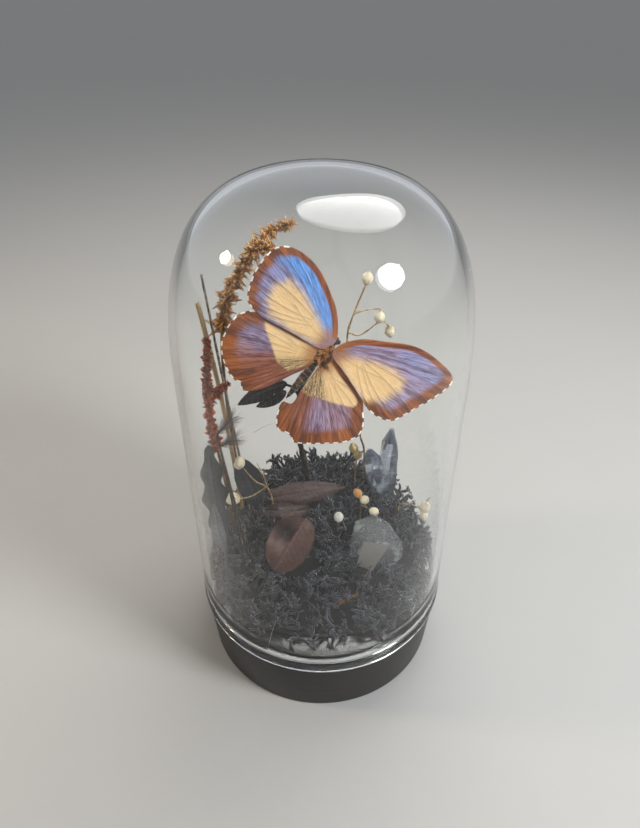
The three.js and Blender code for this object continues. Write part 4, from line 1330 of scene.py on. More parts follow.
class BodyOperator(Operator):
    """Makes the furry body with its eyes and legs"""

    bl_idname = "glass_dome.insect_body"
    bl_label = "Butterfly body"

    def execute(self, context):
        settings = context.scene.dome_butterfly
        pose = butterfly_frame(settings)
        turned, back = pose.to_3x3(), pose.inverted()
        fur, shell, eye = fur_finish(), skin_finish(), eye_finish()
        shape = Shape()
        rings, tails = [], []
        steps, sides = 90, 28
        for k in range(steps + 1):
            y = -5.9 + 27.2 * k / steps
            radius, bow = body_station(y)
            radius -= 0.16
            if y > 6.5:
                radius *= 1 - 0.07 * max(0, cos(TURN * y / 2.1)) ** 4
            ring = []
            for spin in spins(sides):
                at = Vector((cos(spin), 0, sin(spin)))
                uneven = 1 + 0.05 * noise.noise(Vector((at.x, y * 0.6, at.z)) * 2)
                ring.append(pose @ Vector((bow, y, BODY_DROP + bow)) + turned @ (at * radius * uneven))
                tails.append(y)
            rings.append(ring)
        add_rings(shape, rings, tail=tails)
        for side in (-1, 1):
            for hip, reach in ((-1.6, -3), (0.8, 0.6), (3, 4.6)):
                joints = ((0.8, 0, 1.5), (2.2, 0.1, 2.6), (3.1, 0.4, 3.6), (2.5, 0.8, 4.6), (1.7, 1, 5.2))
                knees = [pose @ Vector((side * x, hip + y * reach, BODY_DROP - z)) for x, y, z in joints]
                add_tube(shape, knees, lambda t: 0.3 - 0.17 * t - 0.05 * cos(8 * pi * t), 7, 22,
                         0.1, finish=1, tail=hip)
            centre, out = Vector((side * 1.05, -4.75, BODY_DROP + 0.35)), Vector((side * 0.85, -0.25, 0.4))
            rest = UP.rotation_difference(out.normalized())
            eye_rings = []
            for k in range(1, 10):
                lift = pi * k / 10
                wide, high = 0.82 * sin(lift), -0.62 * cos(lift)
                eye_rings.append([
                    pose @ (centre + rest @ Vector((wide * cos(a), wide * sin(a), high)))
                    for a in spins(16)
                ])
            add_rings(shape, eye_rings, 2, tail=-5)
        body = deliver(shape, "insect_body", (fur, shell, eye), "insect_hair", "butterfly_body")

        far = place("nothing_near", bpy.data.meshes.new("nothing_near"))
        tree = surface_tree()

        def hairs(mesh, name, number, seed, shapes, sizes, comb, untidy, finish):
            return tree.grow(
                mesh, name, shapes, amount=number / area(mesh), seed=seed, smallest=sizes[0],
                largest=sizes[1], comb=comb, untidy=untidy, keep_out=far, room=0.0, reach=0.0,
                material=finish,
            )

        def middle(face):
            return back @ (face.calc_center_median() / MM)

        tailwards = turned @ Vector((0, 1.1, 0))
        skin = part_of(body.data, lambda face: not face.material_index)
        short = [hair(0.95, 0.035, curl) for curl in (0.15, 0.35, -0.2)]
        coat = hairs(skin, "insect_hairs", settings.hairs, 5, short, (0.5, 1.25), tailwards, 0.45, fur)
        self.mark(coat, back)
        front = part_of(skin, lambda face: -3.2 < middle(face).y < 5.6)
        long = [hair(2.4, 0.09, curl) for curl in (0.2, 0.45, -0.25)]
        tufts = [hairs(front, "insect_ruff", 1300, 8, long, (0.5, 1.15), tailwards * 0.5, 0.6, ruff_finish())]
        for side in (-1, 1):

            def at_root(face):
                x, y, z = middle(face)
                return -2.8 < y < 4.6 and z > BODY_DROP - 0.2 and side * x > -0.3

            comb = turned @ Vector((1.5 * side, 0.9, 0.15))
            tufts.append(hairs(part_of(front, at_root), "root_tuft", 420, 21 + side, long, (0.9, 1.9), comb,
                               0.5, ruff_finish()))
        discard(far)
        hand_over(joined("insect_ruff", tufts), "insect_hair", "butterfly_body")
        hand_over(place("insect_hairs", coat), "insect_hair", "butterfly_body")
        return {"FINISHED"}

    def mark(self, mesh, back):
        """Gives each point its distance towards the tail, which the bands follow."""
        store = mesh.attributes.get("tail") or mesh.attributes.new("tail", "FLOAT", "POINT")
        for item, vertex in zip(store.data, mesh.vertices):
            item.value = (back @ (vertex.co / MM)).y

# Twig, sticks and flower spikes

def bark_finish(name, dark, light, ribs=0.25):
    finish = Finish(name, Specular_IOR_Level=0.3)
    grooves = finish.noise(0.7, 4, 0.65, finish.along_stem(9.0, 6.0))
    cloud = finish.noise(1.6, 3)
    skin = finish.blend(finish.between(finish.times(grooves, cloud), 0.12, 0.42), dark, light)
    relief = finish.bump(grooves, ribs, finish.bump(cloud, ribs * 0.5))
    return finish.done(skin, (grooves, 0.2, 0.65), relief)


class TwigOperator(Operator):
    """Sets the dark twig that carries the butterfly, with its two leaves"""

    bl_idname = "glass_dome.twig"
    bl_label = "Support twig"

    def execute(self, context):
        settings = context.scene.dome_flowers
        bark = bark_finish("dark_bark", tone(0x120D0A), tone(0x45362C))
        shape = Shape()
        trunk = [(-6, 23, 43), (-6.2, 22.8, 60), (-9, 18, 84), (-8.6, 12.4, 108), (-4, 7.5, 123),
                 (1.3, 2.9, 132.6)]
        fork = [(-8.6, 12.2, 109), (-11, 10.2, 114), (-12.9, 8.4, 116)]

        def knobbly(t):
            return 1.3 - 0.5 * t + 0.16 * max(0, sin(23 * t)) ** 6

        add_tube(shape, trunk, knobbly, 12, 90, 0.35, 1)
        add_tube(shape, fork, (0.7, 0.42), 9, 18, 0.3, 2)
        for foot, tip in (((-8.4, 14.2, 101), (-10.4, 12.6, 103.4)), ((-7.6, 20.6, 74), (-5.4, 19.2, 76))):
            add_tube(shape, [foot, tip], (0.55, 0.3), 7, 5, 0.3, 3)
        deliver(shape, "carrying_twig", (bark,), "dark_twig", "support_twig")
        leaf = leaf_finish("twig_leaf_skin", settings.dark_leaf, tone(0x5A4640), 9)
        facing = (0.1, -0.75, 0.65)
        for name, midrib, half, node in (
            ("upper_twig_leaf",
             [(-12.7, 8, 117.2), (-19.5, 8.2, 114.6), (-26, 8, 111), (-31.7, 8, 107.4)], 3.3,
             "twig_leaf_upper"),
            ("lower_twig_leaf", [(-13, 7.4, 114), (-17.5, 7, 111.2), (-21, 7, 109), (-24.6, 7, 107.3)], 2.4,
             "twig_leaf_lower"),
        ):
            blade = Shape()
            add_leaf(blade, midrib, facing, half, pointed, cup=-0.25, crease=0.5, waves=0.25, seed=half)
            deliver(blade, name, (leaf,), "dark_twig", node)
        return {"FINISHED"}


def pointed(t):
    return 0.03 + 0.97 * sin(pi * min(1, t ** 0.8)) ** 0.8


def broad(t):
    return 0.08 + 0.92 * sin(pi * min(1, max(0, t))) ** 0.5


def lobed(t):
    return 0.1 + sin(pi * t) ** 0.6 * (0.78 + 0.2 * cos(25 * t))


def add_leaf(shape, midrib, face, half_width, width, cup=0.0, thickness=0.22, crease=0.0, waves=0.0,
             ruffle=0.0, pebbles=0.0, seed=0.0, steps=64, across=28, dents=()):
    """A leaf blade along its midrib, with a sunken midrib, side veins and an uneven edge."""
    path = smooth_route(midrib, steps)
    whole = sum((b - a).length for a, b in zip(path, path[1:]))
    face = Vector(face)
    rows = {"top": [], "under": []}
    hollow_shade = []
    for k, at in enumerate(path):
        t = k / steps
        ahead = (path[min(k + 1, steps)] - path[max(k - 1, 0)]).normalized()
        side = ahead.cross(face).normalized()
        up = side.cross(ahead).normalized()
        nick = 1 + 0.05 * noise.noise(Vector((t * 14, seed, 0)))
        half = half_width * width(t) * nick
        for name in rows:
            row = []
            for i in range(across + 1):
                v = 2 * i / across - 1
                bend = cup * half * v * v + ruffle * sin(9 * t + 2 * v) * abs(v)
                spot = at + side * (half * v)
                bend += waves * half_width * 0.25 * noise.noise(spot * 0.22 + Vector((seed, 3, 1)))
                dent = 0.0
                for where, aside, size, depth in dents:
                    dent += depth * exp(-(((t - where) ** 2 + 0.3 * (v - aside) ** 2) / size ** 2))
                bend += dent
                # Painted shade: the deeper a dent sinks, the darker the blade is painted there.
                hollow_shade.append(min(1.0, max(0.0, -0.3 * dent)))
                bend -= crease * 0.35 * exp(-((v * half / 0.45) ** 2))
                rib = abs(((t * whole - abs(v) * half * 0.8) / 2.6) % 1 - 0.5)
                bend += crease * 0.12 * exp(-((rib / 0.09) ** 2)) * (1 - v * v)
                bend += pebbles * (noise.noise(spot * 1.6) + 0.5 * noise.noise(spot * 3.4))
                level = 0.5 * thickness * (1 - 0.55 * v * v)
                row.append(spot + up * (bend + (level if name == "top" else -level)))
            rows[name].append(row)
    points = [p for name in ("top", "under") for row in rows[name] for p in row]
    wide, deep = across + 1, (steps + 1) * (across + 1)
    hollow_shade = [h for k in range(steps + 1) for h in hollow_shade[2 * k * wide:(2 * k + 1) * wide]] * 2
    faces = []
    for k in range(steps):
        for i in range(across):
            a = k * wide + i
            faces.append((a, a + wide, a + wide + 1, a + 1))
            faces.append((a + deep, a + deep + 1, a + deep + wide + 1, a + deep + wide))
    for k in range(steps):
        left, right = k * wide, k * wide + across
        faces.append((left, left + deep, left + wide + deep, left + wide))
        faces.append((right, right + wide, right + wide + deep, right + deep))
    for i in range(across):
        low, high = i, steps * wide + i
        faces.append((low, low + 1, low + 1 + deep, low + deep))
        faces.append((high, high + deep, high + 1 + deep, high + 1))
    along = [k / steps for k in range(steps + 1) for _ in range(wide)] * 2
    over = [2 * i / across - 1 for _ in range(steps + 1) for i in range(wide)] * 2
    rib = [t * whole - abs(v) * half_width * width(t) * 0.8 for t, v in zip(along, over)]
    shape.add(points, [face[::-1] for face in faces], along=along, over=over, rib=rib, hollow=hollow_shade)


def leaf_finish(name, ground, vein, pebbly=0.0, gloss=0.55, patch=None):
    finish = Finish(name, Specular_IOR_Level=0.4, Sheen_Weight=0.1)
    over = finish.math("ABSOLUTE", finish.value("over"))
    rib = finish.math("FRACT", finish.math("DIVIDE", finish.value("rib"), 2.6))
    rib = finish.math("ABSOLUTE", finish.math("SUBTRACT", rib, 0.5))
    middle = finish.between(over, 0.0, 0.09, 0.8, 0.0)
    lines = finish.math("MAXIMUM", middle, finish.between(rib, 0.0, 0.12, 0.5, 0.0))
    cloud = finish.noise(3.2, 4)
    fine = finish.noise(0.5, 4, 0.65)
    net = finish.cells(0.9)
    skin = finish.shades(cloud, ground, 0.5, 1.6)
    skin = finish.blend(finish.between(fine, 0.45, 0.75, 0, 0.5), skin, patch or scaled(ground, 2.2))
    skin = finish.blend(lines, skin, vein)
    skin = finish.blend(finish.between(over, 0.86, 1.0, 0, 0.5), skin, scaled(ground, 0.35))
    # Painted shade in the sunken dents of the blade.
    skin = finish.blend(finish.times(finish.value("hollow"), 0.85), skin, scaled(ground, 0.12))
    grain = finish.bump(fine, 0.05 + 0.06 * pebbly, finish.bump(net, 0.06))
    return finish.done(skin, (fine, 0.25, gloss - 0.1), finish.bump(lines, 0.08, grain))


def curled_petal(size, width, curl, seed):
    """A narrow pointed petal along +Z, curled over at its tip, with a hollow face."""
    chance = random.Random(seed)
    shape = Shape()
    stations = (0, 0.35, 0.75, 1)
    rings = []
    for t in stations:
        bend = curl * size * t ** 2
        wide = width * (sin(pi * (0.12 + 0.86 * t)) ** 0.8) + 0.01
        middle = Vector((bend, 0, size * (t - 0.15 * abs(curl) * t ** 3)))
        ring = []
        for out, across in ((0.5, 0), (-0.25, 1), (-0.25, -1)):
            across *= chance.uniform(0.85, 1.1)
            ring.append(middle + Vector((out * wide * 0.8, across * wide, 0)))
        rings.append(ring)
    add_rings(shape, rings, close=False, along=[t for t in stations for _ in range(3)])
    shape.faces.append(tuple(range(len(shape.points) - 3, len(shape.points))))
    shape.faces.append((2, 1, 0))
    shape.finishes += [0, 0]
    return shape


def floret(seed, size, width, number, spread, curl):
    """A tuft of curled petals round one foot."""
    chance = random.Random(seed)
    shape = Shape()
    for k in range(number):
        reach = size * chance.uniform(0.75, 1.1)
        petal = curled_petal(reach, width, curl * chance.uniform(0.4, 1.3), seed + k)
        turn = Quaternion((0, 0, 1), k * GOLDEN_ANGLE + chance.uniform(-0.3, 0.3))
        lean = Quaternion((0, 1, 0), spread * chance.uniform(0.4, 1.1) * min(1, k * 0.5))
        points = [turn @ (lean @ Vector(p)) for p in petal.points]
        shape.add(points, petal.faces, along=petal.values["along"])
    return shape.mesh(f"floret_{seed}")


def floret_finish(name, deep, light, tip):
    finish = Finish(name, Specular_IOR_Level=0.35, Sheen_Weight=0.15)
    along = finish.value("along")
    cloud = finish.noise(2.2, 3)
    fine = finish.noise(0.3, 3, 0.6)
    # Painted shade and light: each petal runs from the dark painted-shade copy of its colour at its foot to
    # the lit copy towards its tip.
    skin = finish.blend(finish.times(along, cloud), deep, light)
    skin = finish.blend(finish.between(cloud, 0.5, 0.7, 0, 0.6), skin, light)
    skin = finish.blend(finish.between(along, 0.55, 1.0, 0, 0.7), skin, tip)
    skin = finish.blend(finish.between(fine, 0.55, 0.8, 0, 0.45), skin, scaled(deep, 0.6))
    return finish.done(skin, (fine, 0.2, 0.6), finish.bump(fine, 0.06))


GOLDEN_STEM = [(-34, 18, 44), (-35.2, 17.6, 62), (-37, 16, 95), (-36.5, 14, 128), (-33.5, 12.5, 146),
               (-28.5, 13, 156), (-23.5, 15.5, 164), (-17.5, 18.5, 169.6), (-10, 20, 172.4)]
GOLDEN_SHOOT = [(-23.5, 15.5, 164), (-20.5, 14.5, 166), (-16.6, 13.6, 165.6)]
RUST_STEM = [(-37.5, 6, 44), (-38.2, 5.6, 62), (-40.6, 3.6, 92), (-41.4, 2.4, 106), (-41, 2.6, 122),
             (-39.2, 3.4, 137.5)]
RUST_SHOOT = [(-41.2, 2.7, 113), (-38, 4.2, 116), (-34.4, 5.2, 118.6)]


class SpikesOperator(Operator):
    """Sets the golden and the rust-red dried flower spikes"""

    bl_idname = "glass_dome.spikes"
    bl_label = "Flower spikes"

    def execute(self, context):
        settings = context.scene.dome_flowers
        tree = path_tree()
        gold = settings.golden
        # The first colour of each floret finish is a darker painted-shade copy of the florets' colour, and
        # the second is the lit colour.
        golden = floret_finish("golden_florets", scaled(gold, 0.3), gold, tone(0xF2C682))
        rust = floret_finish("rust_florets", scaled(settings.rust, 0.35), settings.rust, tone(0xE07A3A))
        stem = bark_finish("flower_stem", tone(0x3A2412), tone(0x8A6238), 0.12)
        gold_shapes = [floret(seed, 4.1, 0.74, 4, 1.1, 0.9) for seed in range(8)]
        rust_shapes = [floret(seed + 20, 3.0, 1.15, 4, 1.25, 0.4) for seed in range(8)]
        plan = (
            ("golden_spike", "flower_spike_golden", "golden_flower", golden, gold_shapes,
             ((GOLDEN_STEM, 0.66, 120, 0.85, 0.4), (GOLDEN_SHOOT, 0.0, 24, 0.45, 0.3))),
            ("rust_spike", "flower_spike_rust", "rust_flower", rust, rust_shapes,
             ((RUST_STEM, 0.5, 105, 0.8, 0.4), (RUST_SHOOT, 0.0, 22, 0.45, 0.3))),
        )
        for name, node, slot, finish, shapes, branches in plan:
            parts = []
            for k, (route, start, number, thick, thin) in enumerate(branches):
                bare = Shape()
                add_tube(bare, route, (thick, thin), 8, 60 if k == 0 else 12, 0.2, k)
                mesh = bare.mesh("stem")
                mesh.materials.append(stem)
                parts += [mesh, tree.grow(
                    path_mesh(route, 60, start), "florets", shapes, number=number, seed=3 + k,
                    turn=GOLDEN_ANGLE, lean=-0.9, untidy=0.95, first_size=1.0, last_size=0.7,
                    material=finish,
                )]
            hand_over(joined(name, parts), slot, node)
        return {"FINISHED"}


def straw_finish(settings):
    finish = Finish("pale_straw", Specular_IOR_Level=0.4, Coat_Weight=0.1, Coat_Roughness=0.4)
    ribs = finish.noise(0.6, 3, 0.6, finish.along_stem(14, 4.0))
    cloud = finish.noise(6, 3)
    skin = finish.shades(ribs, settings.straw, 0.6, 1.2)
    skin = finish.blend(finish.between(cloud, 0.5, 0.8, 0, 0.6), skin, tone(0x6B4F2E))
    return finish.done(skin, (ribs, 0.2, 0.4), finish.bump(ribs, 0.08))


class SticksOperator(Operator):
    """Sets the hollow straw and the thin stick beside it"""

    bl_idname = "glass_dome.sticks"
    bl_label = "Straw and stick"

    def execute(self, context):
        settings = context.scene.dome_flowers
        finish = straw_finish(settings)
        steps, sides = 80, 12
        route = smooth_route([(-35, 14.5, 44), (-35.4, 14.2, 60), (-38.5, 11.5, 110), (-42, 7, 149.5)], steps)
        frames_of = carried_frames(route)

        # Up the outside with its joints, then down the bore
        walls = [(k, 0.9 + 0.07 * exp(-(((k / steps) % 0.31 - 0.12) / 0.012) ** 2))
                 for k in range(steps + 1)]
        walls += [(k, 0.55) for k in range(steps, steps - 8, -1)]
        rings, along, turn = [], [], []
        for k, width in walls:
            ahead, side, rise = frames_of[k]
            ring = []
            for i, spin in enumerate(spins(sides)):
                split = 0.12 * sin(3 * spin + 1) if k >= steps - 1 else 0
                out = (side * cos(spin) + rise * sin(spin)) * width
                ring.append(route[k] + out + ahead * split)
                along.append(k / steps)
                turn.append(i / sides)
            rings.append(ring)
        shape = Shape()
        add_rings(shape, rings, along=along, turn=turn)
        straw = place("hollow_straw", shape.mesh("hollow_straw"), (finish,))
        hand_over(outward(straw), "pale_straw", "straw")
        shape = Shape()
        stick = [(-31.5, 12, 44), (-31.9, 12, 62), (-36.6, 9, 120), (-39.5, 6.6, 160)]
        add_tube(shape, stick, (0.6, 0.42), 9, 70, 0.25, 4)
        grey = bark_finish("grey_stick", tone(0x4A4036), tone(0xA39684), 0.1)
        deliver(shape, "bare_stick", (grey,), "pale_straw", "thin_stick")
        return {"FINISHED"}


class TuftsOperator(Operator):
    """Combs the barbs of the two dark plumes"""

    bl_idname = "glass_dome.tufts"
    bl_label = "Plumes"

    def execute(self, context):
        tree = path_tree()
        finish = Finish("plume_barbs", Sheen_Weight=0.4, Specular_IOR_Level=0.3)
        cloud = finish.noise(2.4, 3)
        skin = finish.blend(cloud, tone(0x2C221D), tone(0x6A5548))
        skin = finish.blend(finish.times(finish.value("along"), 0.6), skin, tone(0x9C8776))
        barb = finish.done(skin, (cloud, 0.2, 0.6), finish.bump(cloud, 0.05))
        stem = bark_finish("plume_stalk", tone(0x1E1714), tone(0x54463C), 0.08)
        shapes = [hair(8.6, 0.075, curl) for curl in (0.08, 0.18, -0.05, 0.25)]
        for name, node, stalk, tip in (
            ("upper_plume", "tuft_upper", [(-33, -6.5, 41), (-33.6, -6.2, 58), (-38.6, -1.4, 101)],
             (-28, -0.5, 110.5)),
            ("lower_plume", "tuft_lower", [(-30.5, -10, 39), (-31, -9.7, 56), (-37.6, -3.6, 97)],
             (-28, -3.6, 100.5)),
        ):
            root, tip = Vector(stalk[2]), Vector(tip)
            middle = root.lerp(tip, 0.5) + Vector((0, 0, 1.2))
            bare = Shape()
            add_tube(bare, stalk, (0.5, 0.4), 8, 44, 0.2, 6)
            add_tube(bare, [root, middle, root.lerp(tip, 0.8)], (0.3, 0.08), 6, 18)
            parts = [bare.mesh("stalk")]
            parts[0].materials.append(stem)
            for side in (0, 1):
                parts.append(tree.grow(
                    path_mesh([root, root.lerp(middle, 0.6), middle], 24), "barbs", shapes, number=105,
                    seed=7 + side, turn=pi, lean=-0.38, untidy=0.3, first_size=0.7, last_size=0.75,
                    material=barb,
                ))
            hand_over(joined(name, parts), "dry_plume", node)
        return {"FINISHED"}


class StandingLeavesOperator(Operator):
    """Stands the dark leaves at the left wall"""

    bl_idname = "glass_dome.standing_leaves"
    bl_label = "Standing leaves"

    def execute(self, context):
        settings = context.scene.dome_flowers
        dark = settings.dark_leaf
        plan = (
            ("tall_lobed_leaf", "lobed_leaf", [(-38.2, -12.6, 54), (-41.6, -6, 76), (-42.4, -3, 97)], 5.2,
             lobed, (-38, -13, 38), scaled(dark, 0.7), tone(0x3A3B40)),
            ("narrow_grey_leaf", "grey_leaf", [(-37.8, -15.5, 55), (-39.8, -14.4, 66), (-40.4, -13, 77)], 2.6,
             pointed, (-37.6, -16, 37.5), tone(0x4E4E50), tone(0x77767A)),
            ("broad_black_leaf", "black_leaf", [(-27, 10, 55), (-30, 9, 69), (-33.6, 8, 81)], 5.6, broad,
             (-26.6, 10.2, 43), dark, tone(0x44454A)),
        )
        for name, node, midrib, half, width, foot, ground, vein in plan:
            shape = Shape()
            add_leaf(shape, midrib, (0.45, -0.8, 0.35), half, width, cup=0.15, crease=1.0, ruffle=0.4,
                     waves=0.3, seed=half)
            low, next_up = Vector(midrib[0]), Vector(midrib[1])
            stalk = [foot, low + Vector((0, 0, 2)), low.lerp(next_up, 0.4)]
            add_tube(shape, stalk, (0.6, 0.3), 8, 14, 0.15, 5, over=0.5)
            deliver(shape, name, (leaf_finish(name + "_skin", ground, vein),), "dark_leaf", node)
        return {"FINISHED"}


# Baby's breath

def bud_finish(name, base, shade):
    finish = Finish(name, Sheen_Weight=0.2, Specular_IOR_Level=0.35)
    lines = finish.math("SINE", finish.times(finish.value("turn"), TURN * 17))
    lines = finish.between(lines, -0.2, 1.0)
    along = finish.value("along")
    cloud = finish.noise(1.2, 3)
    skin = finish.shades(cloud, base, 0.72, 1.08)
    skin = finish.blend(finish.times(lines, 0.28), skin, shade)
    skin = finish.blend(finish.between(along, 0.3, 0.0, 0, 0.75), skin, shade)
    skin = finish.blend(finish.between(along, 0.8, 1.0, 0, 0.55), skin, shade)
    return finish.done(skin, (cloud, 0.2, 0.55), finish.bump(lines, 0.06, finish.bump(cloud, 0.05)))


def add_bud(shape, foot, heading, size, pointy=0.5, seed=0, finish=0):
    """A closed dried bud on its foot, with pressed folds and a ring of small sepals."""
    turn = UP.rotation_difference(Vector(heading).normalized())
    foot = Vector(foot)
    steps, sides = 12, 20
    rings, along, spin_row = [], [], []
    for k in range(steps + 1):
        t = k / steps
        fall = sin(pi * (0.1 + 0.9 * t)) ** (0.62 if t < 0.45 else 0.8 + 0.6 * pointy)
        ring = []
        for i, spin in enumerate(spins(sides)):
            fold = 1 + 0.07 * cos(5 * spin + seed) * t + 0.04 * noise.noise(Vector((spin, 3 * t, seed)))
            r = (0.93 * size * fall + 0.02) * fold
            ring.append(foot + turn @ Vector((r * cos(spin), r * sin(spin), 2.5 * size * t * 0.97)))
            along.append(t)
            spin_row.append(i / sides)
        rings.append(ring)
    add_rings(shape, rings, finish, along=along, turn=spin_row)
    for k in range(5):
        spin = TURN * k / 5 + seed
        out = Vector((cos(spin), sin(spin), 0))
        side = Vector((-out.y, out.x, 0))
        points = []
        for t, wide in ((0, 0.2), (0.5, 0.34), (1, 0.02)):
            middle = out * size * (0.3 + 0.66 * t ** 0.6) + Vector((0, 0, size * (0.02 + 0.95 * t)))
            for across, lift in ((-1, 0), (0, 0.06), (1, 0), (0, -0.06)):
                points.append(foot + turn @ (middle + side * size * wide * across + out * lift * size))
        petals = [points[0:4], points[4:8], points[8:12]]
        add_rings(shape, petals, 1, along=[0.0] * 12, turn=[0.0] * 12)


class BabysBreathOperator(Operator):
    """Sets the sprigs of baby's breath with their cream buds"""

    bl_idname = "glass_dome.babys_breath"
    bl_label = "Baby's breath"

    def execute(self, context):
        settings = context.scene.dome_flowers
        stalk = bark_finish("sprig_stalk", tone(0x7A5E3C), tone(0xC9AE80), 0.05)
        sepal = bud_finish("sepal", tone(0xB69462), tone(0x6E4E2C))
        cream = bud_finish("cream_bud", settings.bud, tone(0xA5824E))
        ochre = bud_finish("ochre_bud", tone(0xB29A66), tone(0x6B5230))
        white = bud_finish("white_bud", tone(0xEFEBDD), tone(0xB5A684))
        orange = bud_finish("orange_bud", tone(0xC98F52), tone(0x7A4A20))
        riser = [(19, 31, 46), (19.2, 30.6, 60), (18.6, 28, 71), (15.6, 20, 86), (11.2, 10, 117),
                 (8.8, 5, 137), (10.8, 5, 146.6), (14.5, 5, 157.5)]
        plan = (
            ("upper_sprig", "babys_breath_upper", cream,
             [(riser, 0.5, 0.3), ([(10.8, 5, 146.6), (15, 5, 148), (19.6, 5, 148.4)], 0.3, 0.2),
              ([(9.3, 5, 139.4), (13.2, 4.9, 138.6), (19.4, 5, 143.6)], 0.3, 0.25),
              ([(19.2, 5, 143.4), (21.4, 5, 143.4), (23, 5, 141.6)], 0.28, 0.25)],
             [((14.4, 5, 157.2), (0.2, 0, 1), 2, 0.7), ((19.4, 5, 143.4), (0.05, 0, 1), 2, 0.9),
              ((22.9, 5, 141.8), (0.2, 0, -1), 1.9, 0.9)]),
            ("left_sprig", "babys_breath_left", cream,
             [([(-20.5, 9, 44), (-20.8, 8.8, 60), (-22, 4, 70.7)], 0.4, 0.3),
              ([(-22, 4, 70.7), (-26.6, 3, 74.6), (-31.2, 2, 83)], 0.3, 0.25),
              ([(-22, 4, 70.7), (-28, 3, 66.6), (-33.4, 2, 65.6)], 0.3, 0.25),
              ([(-22, 4, 70.7), (-23.4, 5, 76), (-25.6, 6, 81)], 0.28, 0.18)],
             [((-31.1, 2, 82.8), (-0.3, 0, 1), 2.1, 0.2), ((-31, 2.4, 82.4), (-1, 0.3, 0.1), 1.6, 0.2),
              ((-33.2, 2, 65.6), (-1, 0, 0.1), 2.8, 0.0)]),
            ("middle_sprig", "babys_breath_middle", cream,
             [([(17, 11, 42), (17, 10.9, 56), (16.6, 11.3, 58.6)], 0.4, 0.3),
              ([(17, 10.9, 54), (19.2, 8.4, 55), (21, 6.8, 54.8)], 0.3, 0.25)],
             [((17, 11, 57), (0.6, -0.6, 0.5), 2, 0.1), ((20.8, 7, 54.8), (0.5, -0.6, 0.2), 2, 0.1)]),
            ("single_sprig", "babys_breath_single", white,
             [([(7, 4.4, 40), (7, 4.2, 53)], 0.4, 0.3)], [((7, 4.2, 51.8), (0.1, -0.2, 1), 2.1, 0.0)]),
            ("ochre_sprig", "babys_breath_ochre", ochre,
             [([(15.2, 27.5, 46), (15.3, 27, 62), (15.6, 25, 68), (14.6, 24.2, 72.6)], 0.4, 0.3)],
             [((14.7, 24.3, 72), (-0.4, 0, 1), 2.1, 0.3), ((15.3, 25.4, 67.6), (0.25, -0.1, 0.8), 2, 0.3)]),
            ("right_cluster", "babys_breath_cluster", cream,
             [([(33, 9, 41), (33, 9, 50), (33.5, 8.2, 57), (37, 2.6, 62), (41, -3, 64.4)], 0.4, 0.3)],
             [((40.9, -2.9, 64.4), (0.2, -0.4, 1), 2.3, 0.1),
              ((40.9, -2.9, 64.4), (0.1, -0.8, -0.7), 1.9, 0.1)]),
        )
        for name, node, finish, stalks, buds in plan:
            shape = Shape()
            for k, (route, thick, thin) in enumerate(stalks):
                knots = len(route) - 1

                def jointed(t, thick=thick, thin=thin, knots=knots):
                    joint = abs((t * knots) % 1 - 0.5)
                    return thick + (thin - thick) * t + 0.1 * exp(-(((0.5 - joint) / 0.06) ** 2))

                add_tube(shape, route, jointed, 8, 16 * knots, 0.15, k, finish=2)
            for k, (foot, heading, size, pointy) in enumerate(buds):
                add_bud(shape, foot, heading, size, pointy, k)
            if name == "right_cluster":
                petal = curled_petal(6.2, 1.05, 0.1, 3)
                turn = UP.rotation_difference(Vector((0.4, 0.3, 1)))
                points = [Vector((40.9, -2.9, 64.4)) + turn @ Vector(p) for p in petal.points]
                shape.add(points, petal.faces, 1, along=petal.values["along"], turn=0.3)
            if name == "middle_sprig":
                add_bud(shape, (16.6, 11.3, 58.2), (-0.7, 0.3, 1), 1.9, 0.2, 4, finish=3)
            deliver(shape, name, (finish, sepal, stalk, orange), "dried_bud", node)
        return {"FINISHED"}


# Quartz

def crystal_points(foot, tip, radius, foot_share, pyramid):
    """The corners of a six-sided crystal with a pyramid on its tip."""
    foot, tip = Vector(foot), Vector(tip)
    length_of = (tip - foot).length
    turn = UP.rotation_difference(tip - foot)
    points = []
    for i in range(6):
        spin = pi * i / 3 + 0.35
        skew = 1 + 0.16 * cos(2 * spin + 1)
        for height, share in (
            (0, foot_share), (0.3 * length_of, 1),
            (length_of - pyramid * (1 + 0.25 * sin(3 * i)), 0.86), (length_of, 0.2),
        ):
            r = radius * skew * share
            points.append(foot + turn @ Vector((r * cos(spin), r * sin(spin), height)))
    return points


def hull_mesh(name, points):
    body = bmesh.new()
    for p in points:
        body.verts.new(p * MM)
    bmesh.ops.convex_hull(body, input=body.verts)
    loose = [v for v in body.verts if not v.link_faces]
    bmesh.ops.delete(body, geom=loose, context="VERTS")
    bmesh.ops.dissolve_limit(body, angle_limit=0.02, verts=body.verts, edges=body.edges)
    bmesh.ops.recalc_face_normals(body, faces=body.faces)
    mesh = bpy.data.meshes.new(name)
    body.to_mesh(mesh)
    body.free()
    return mesh


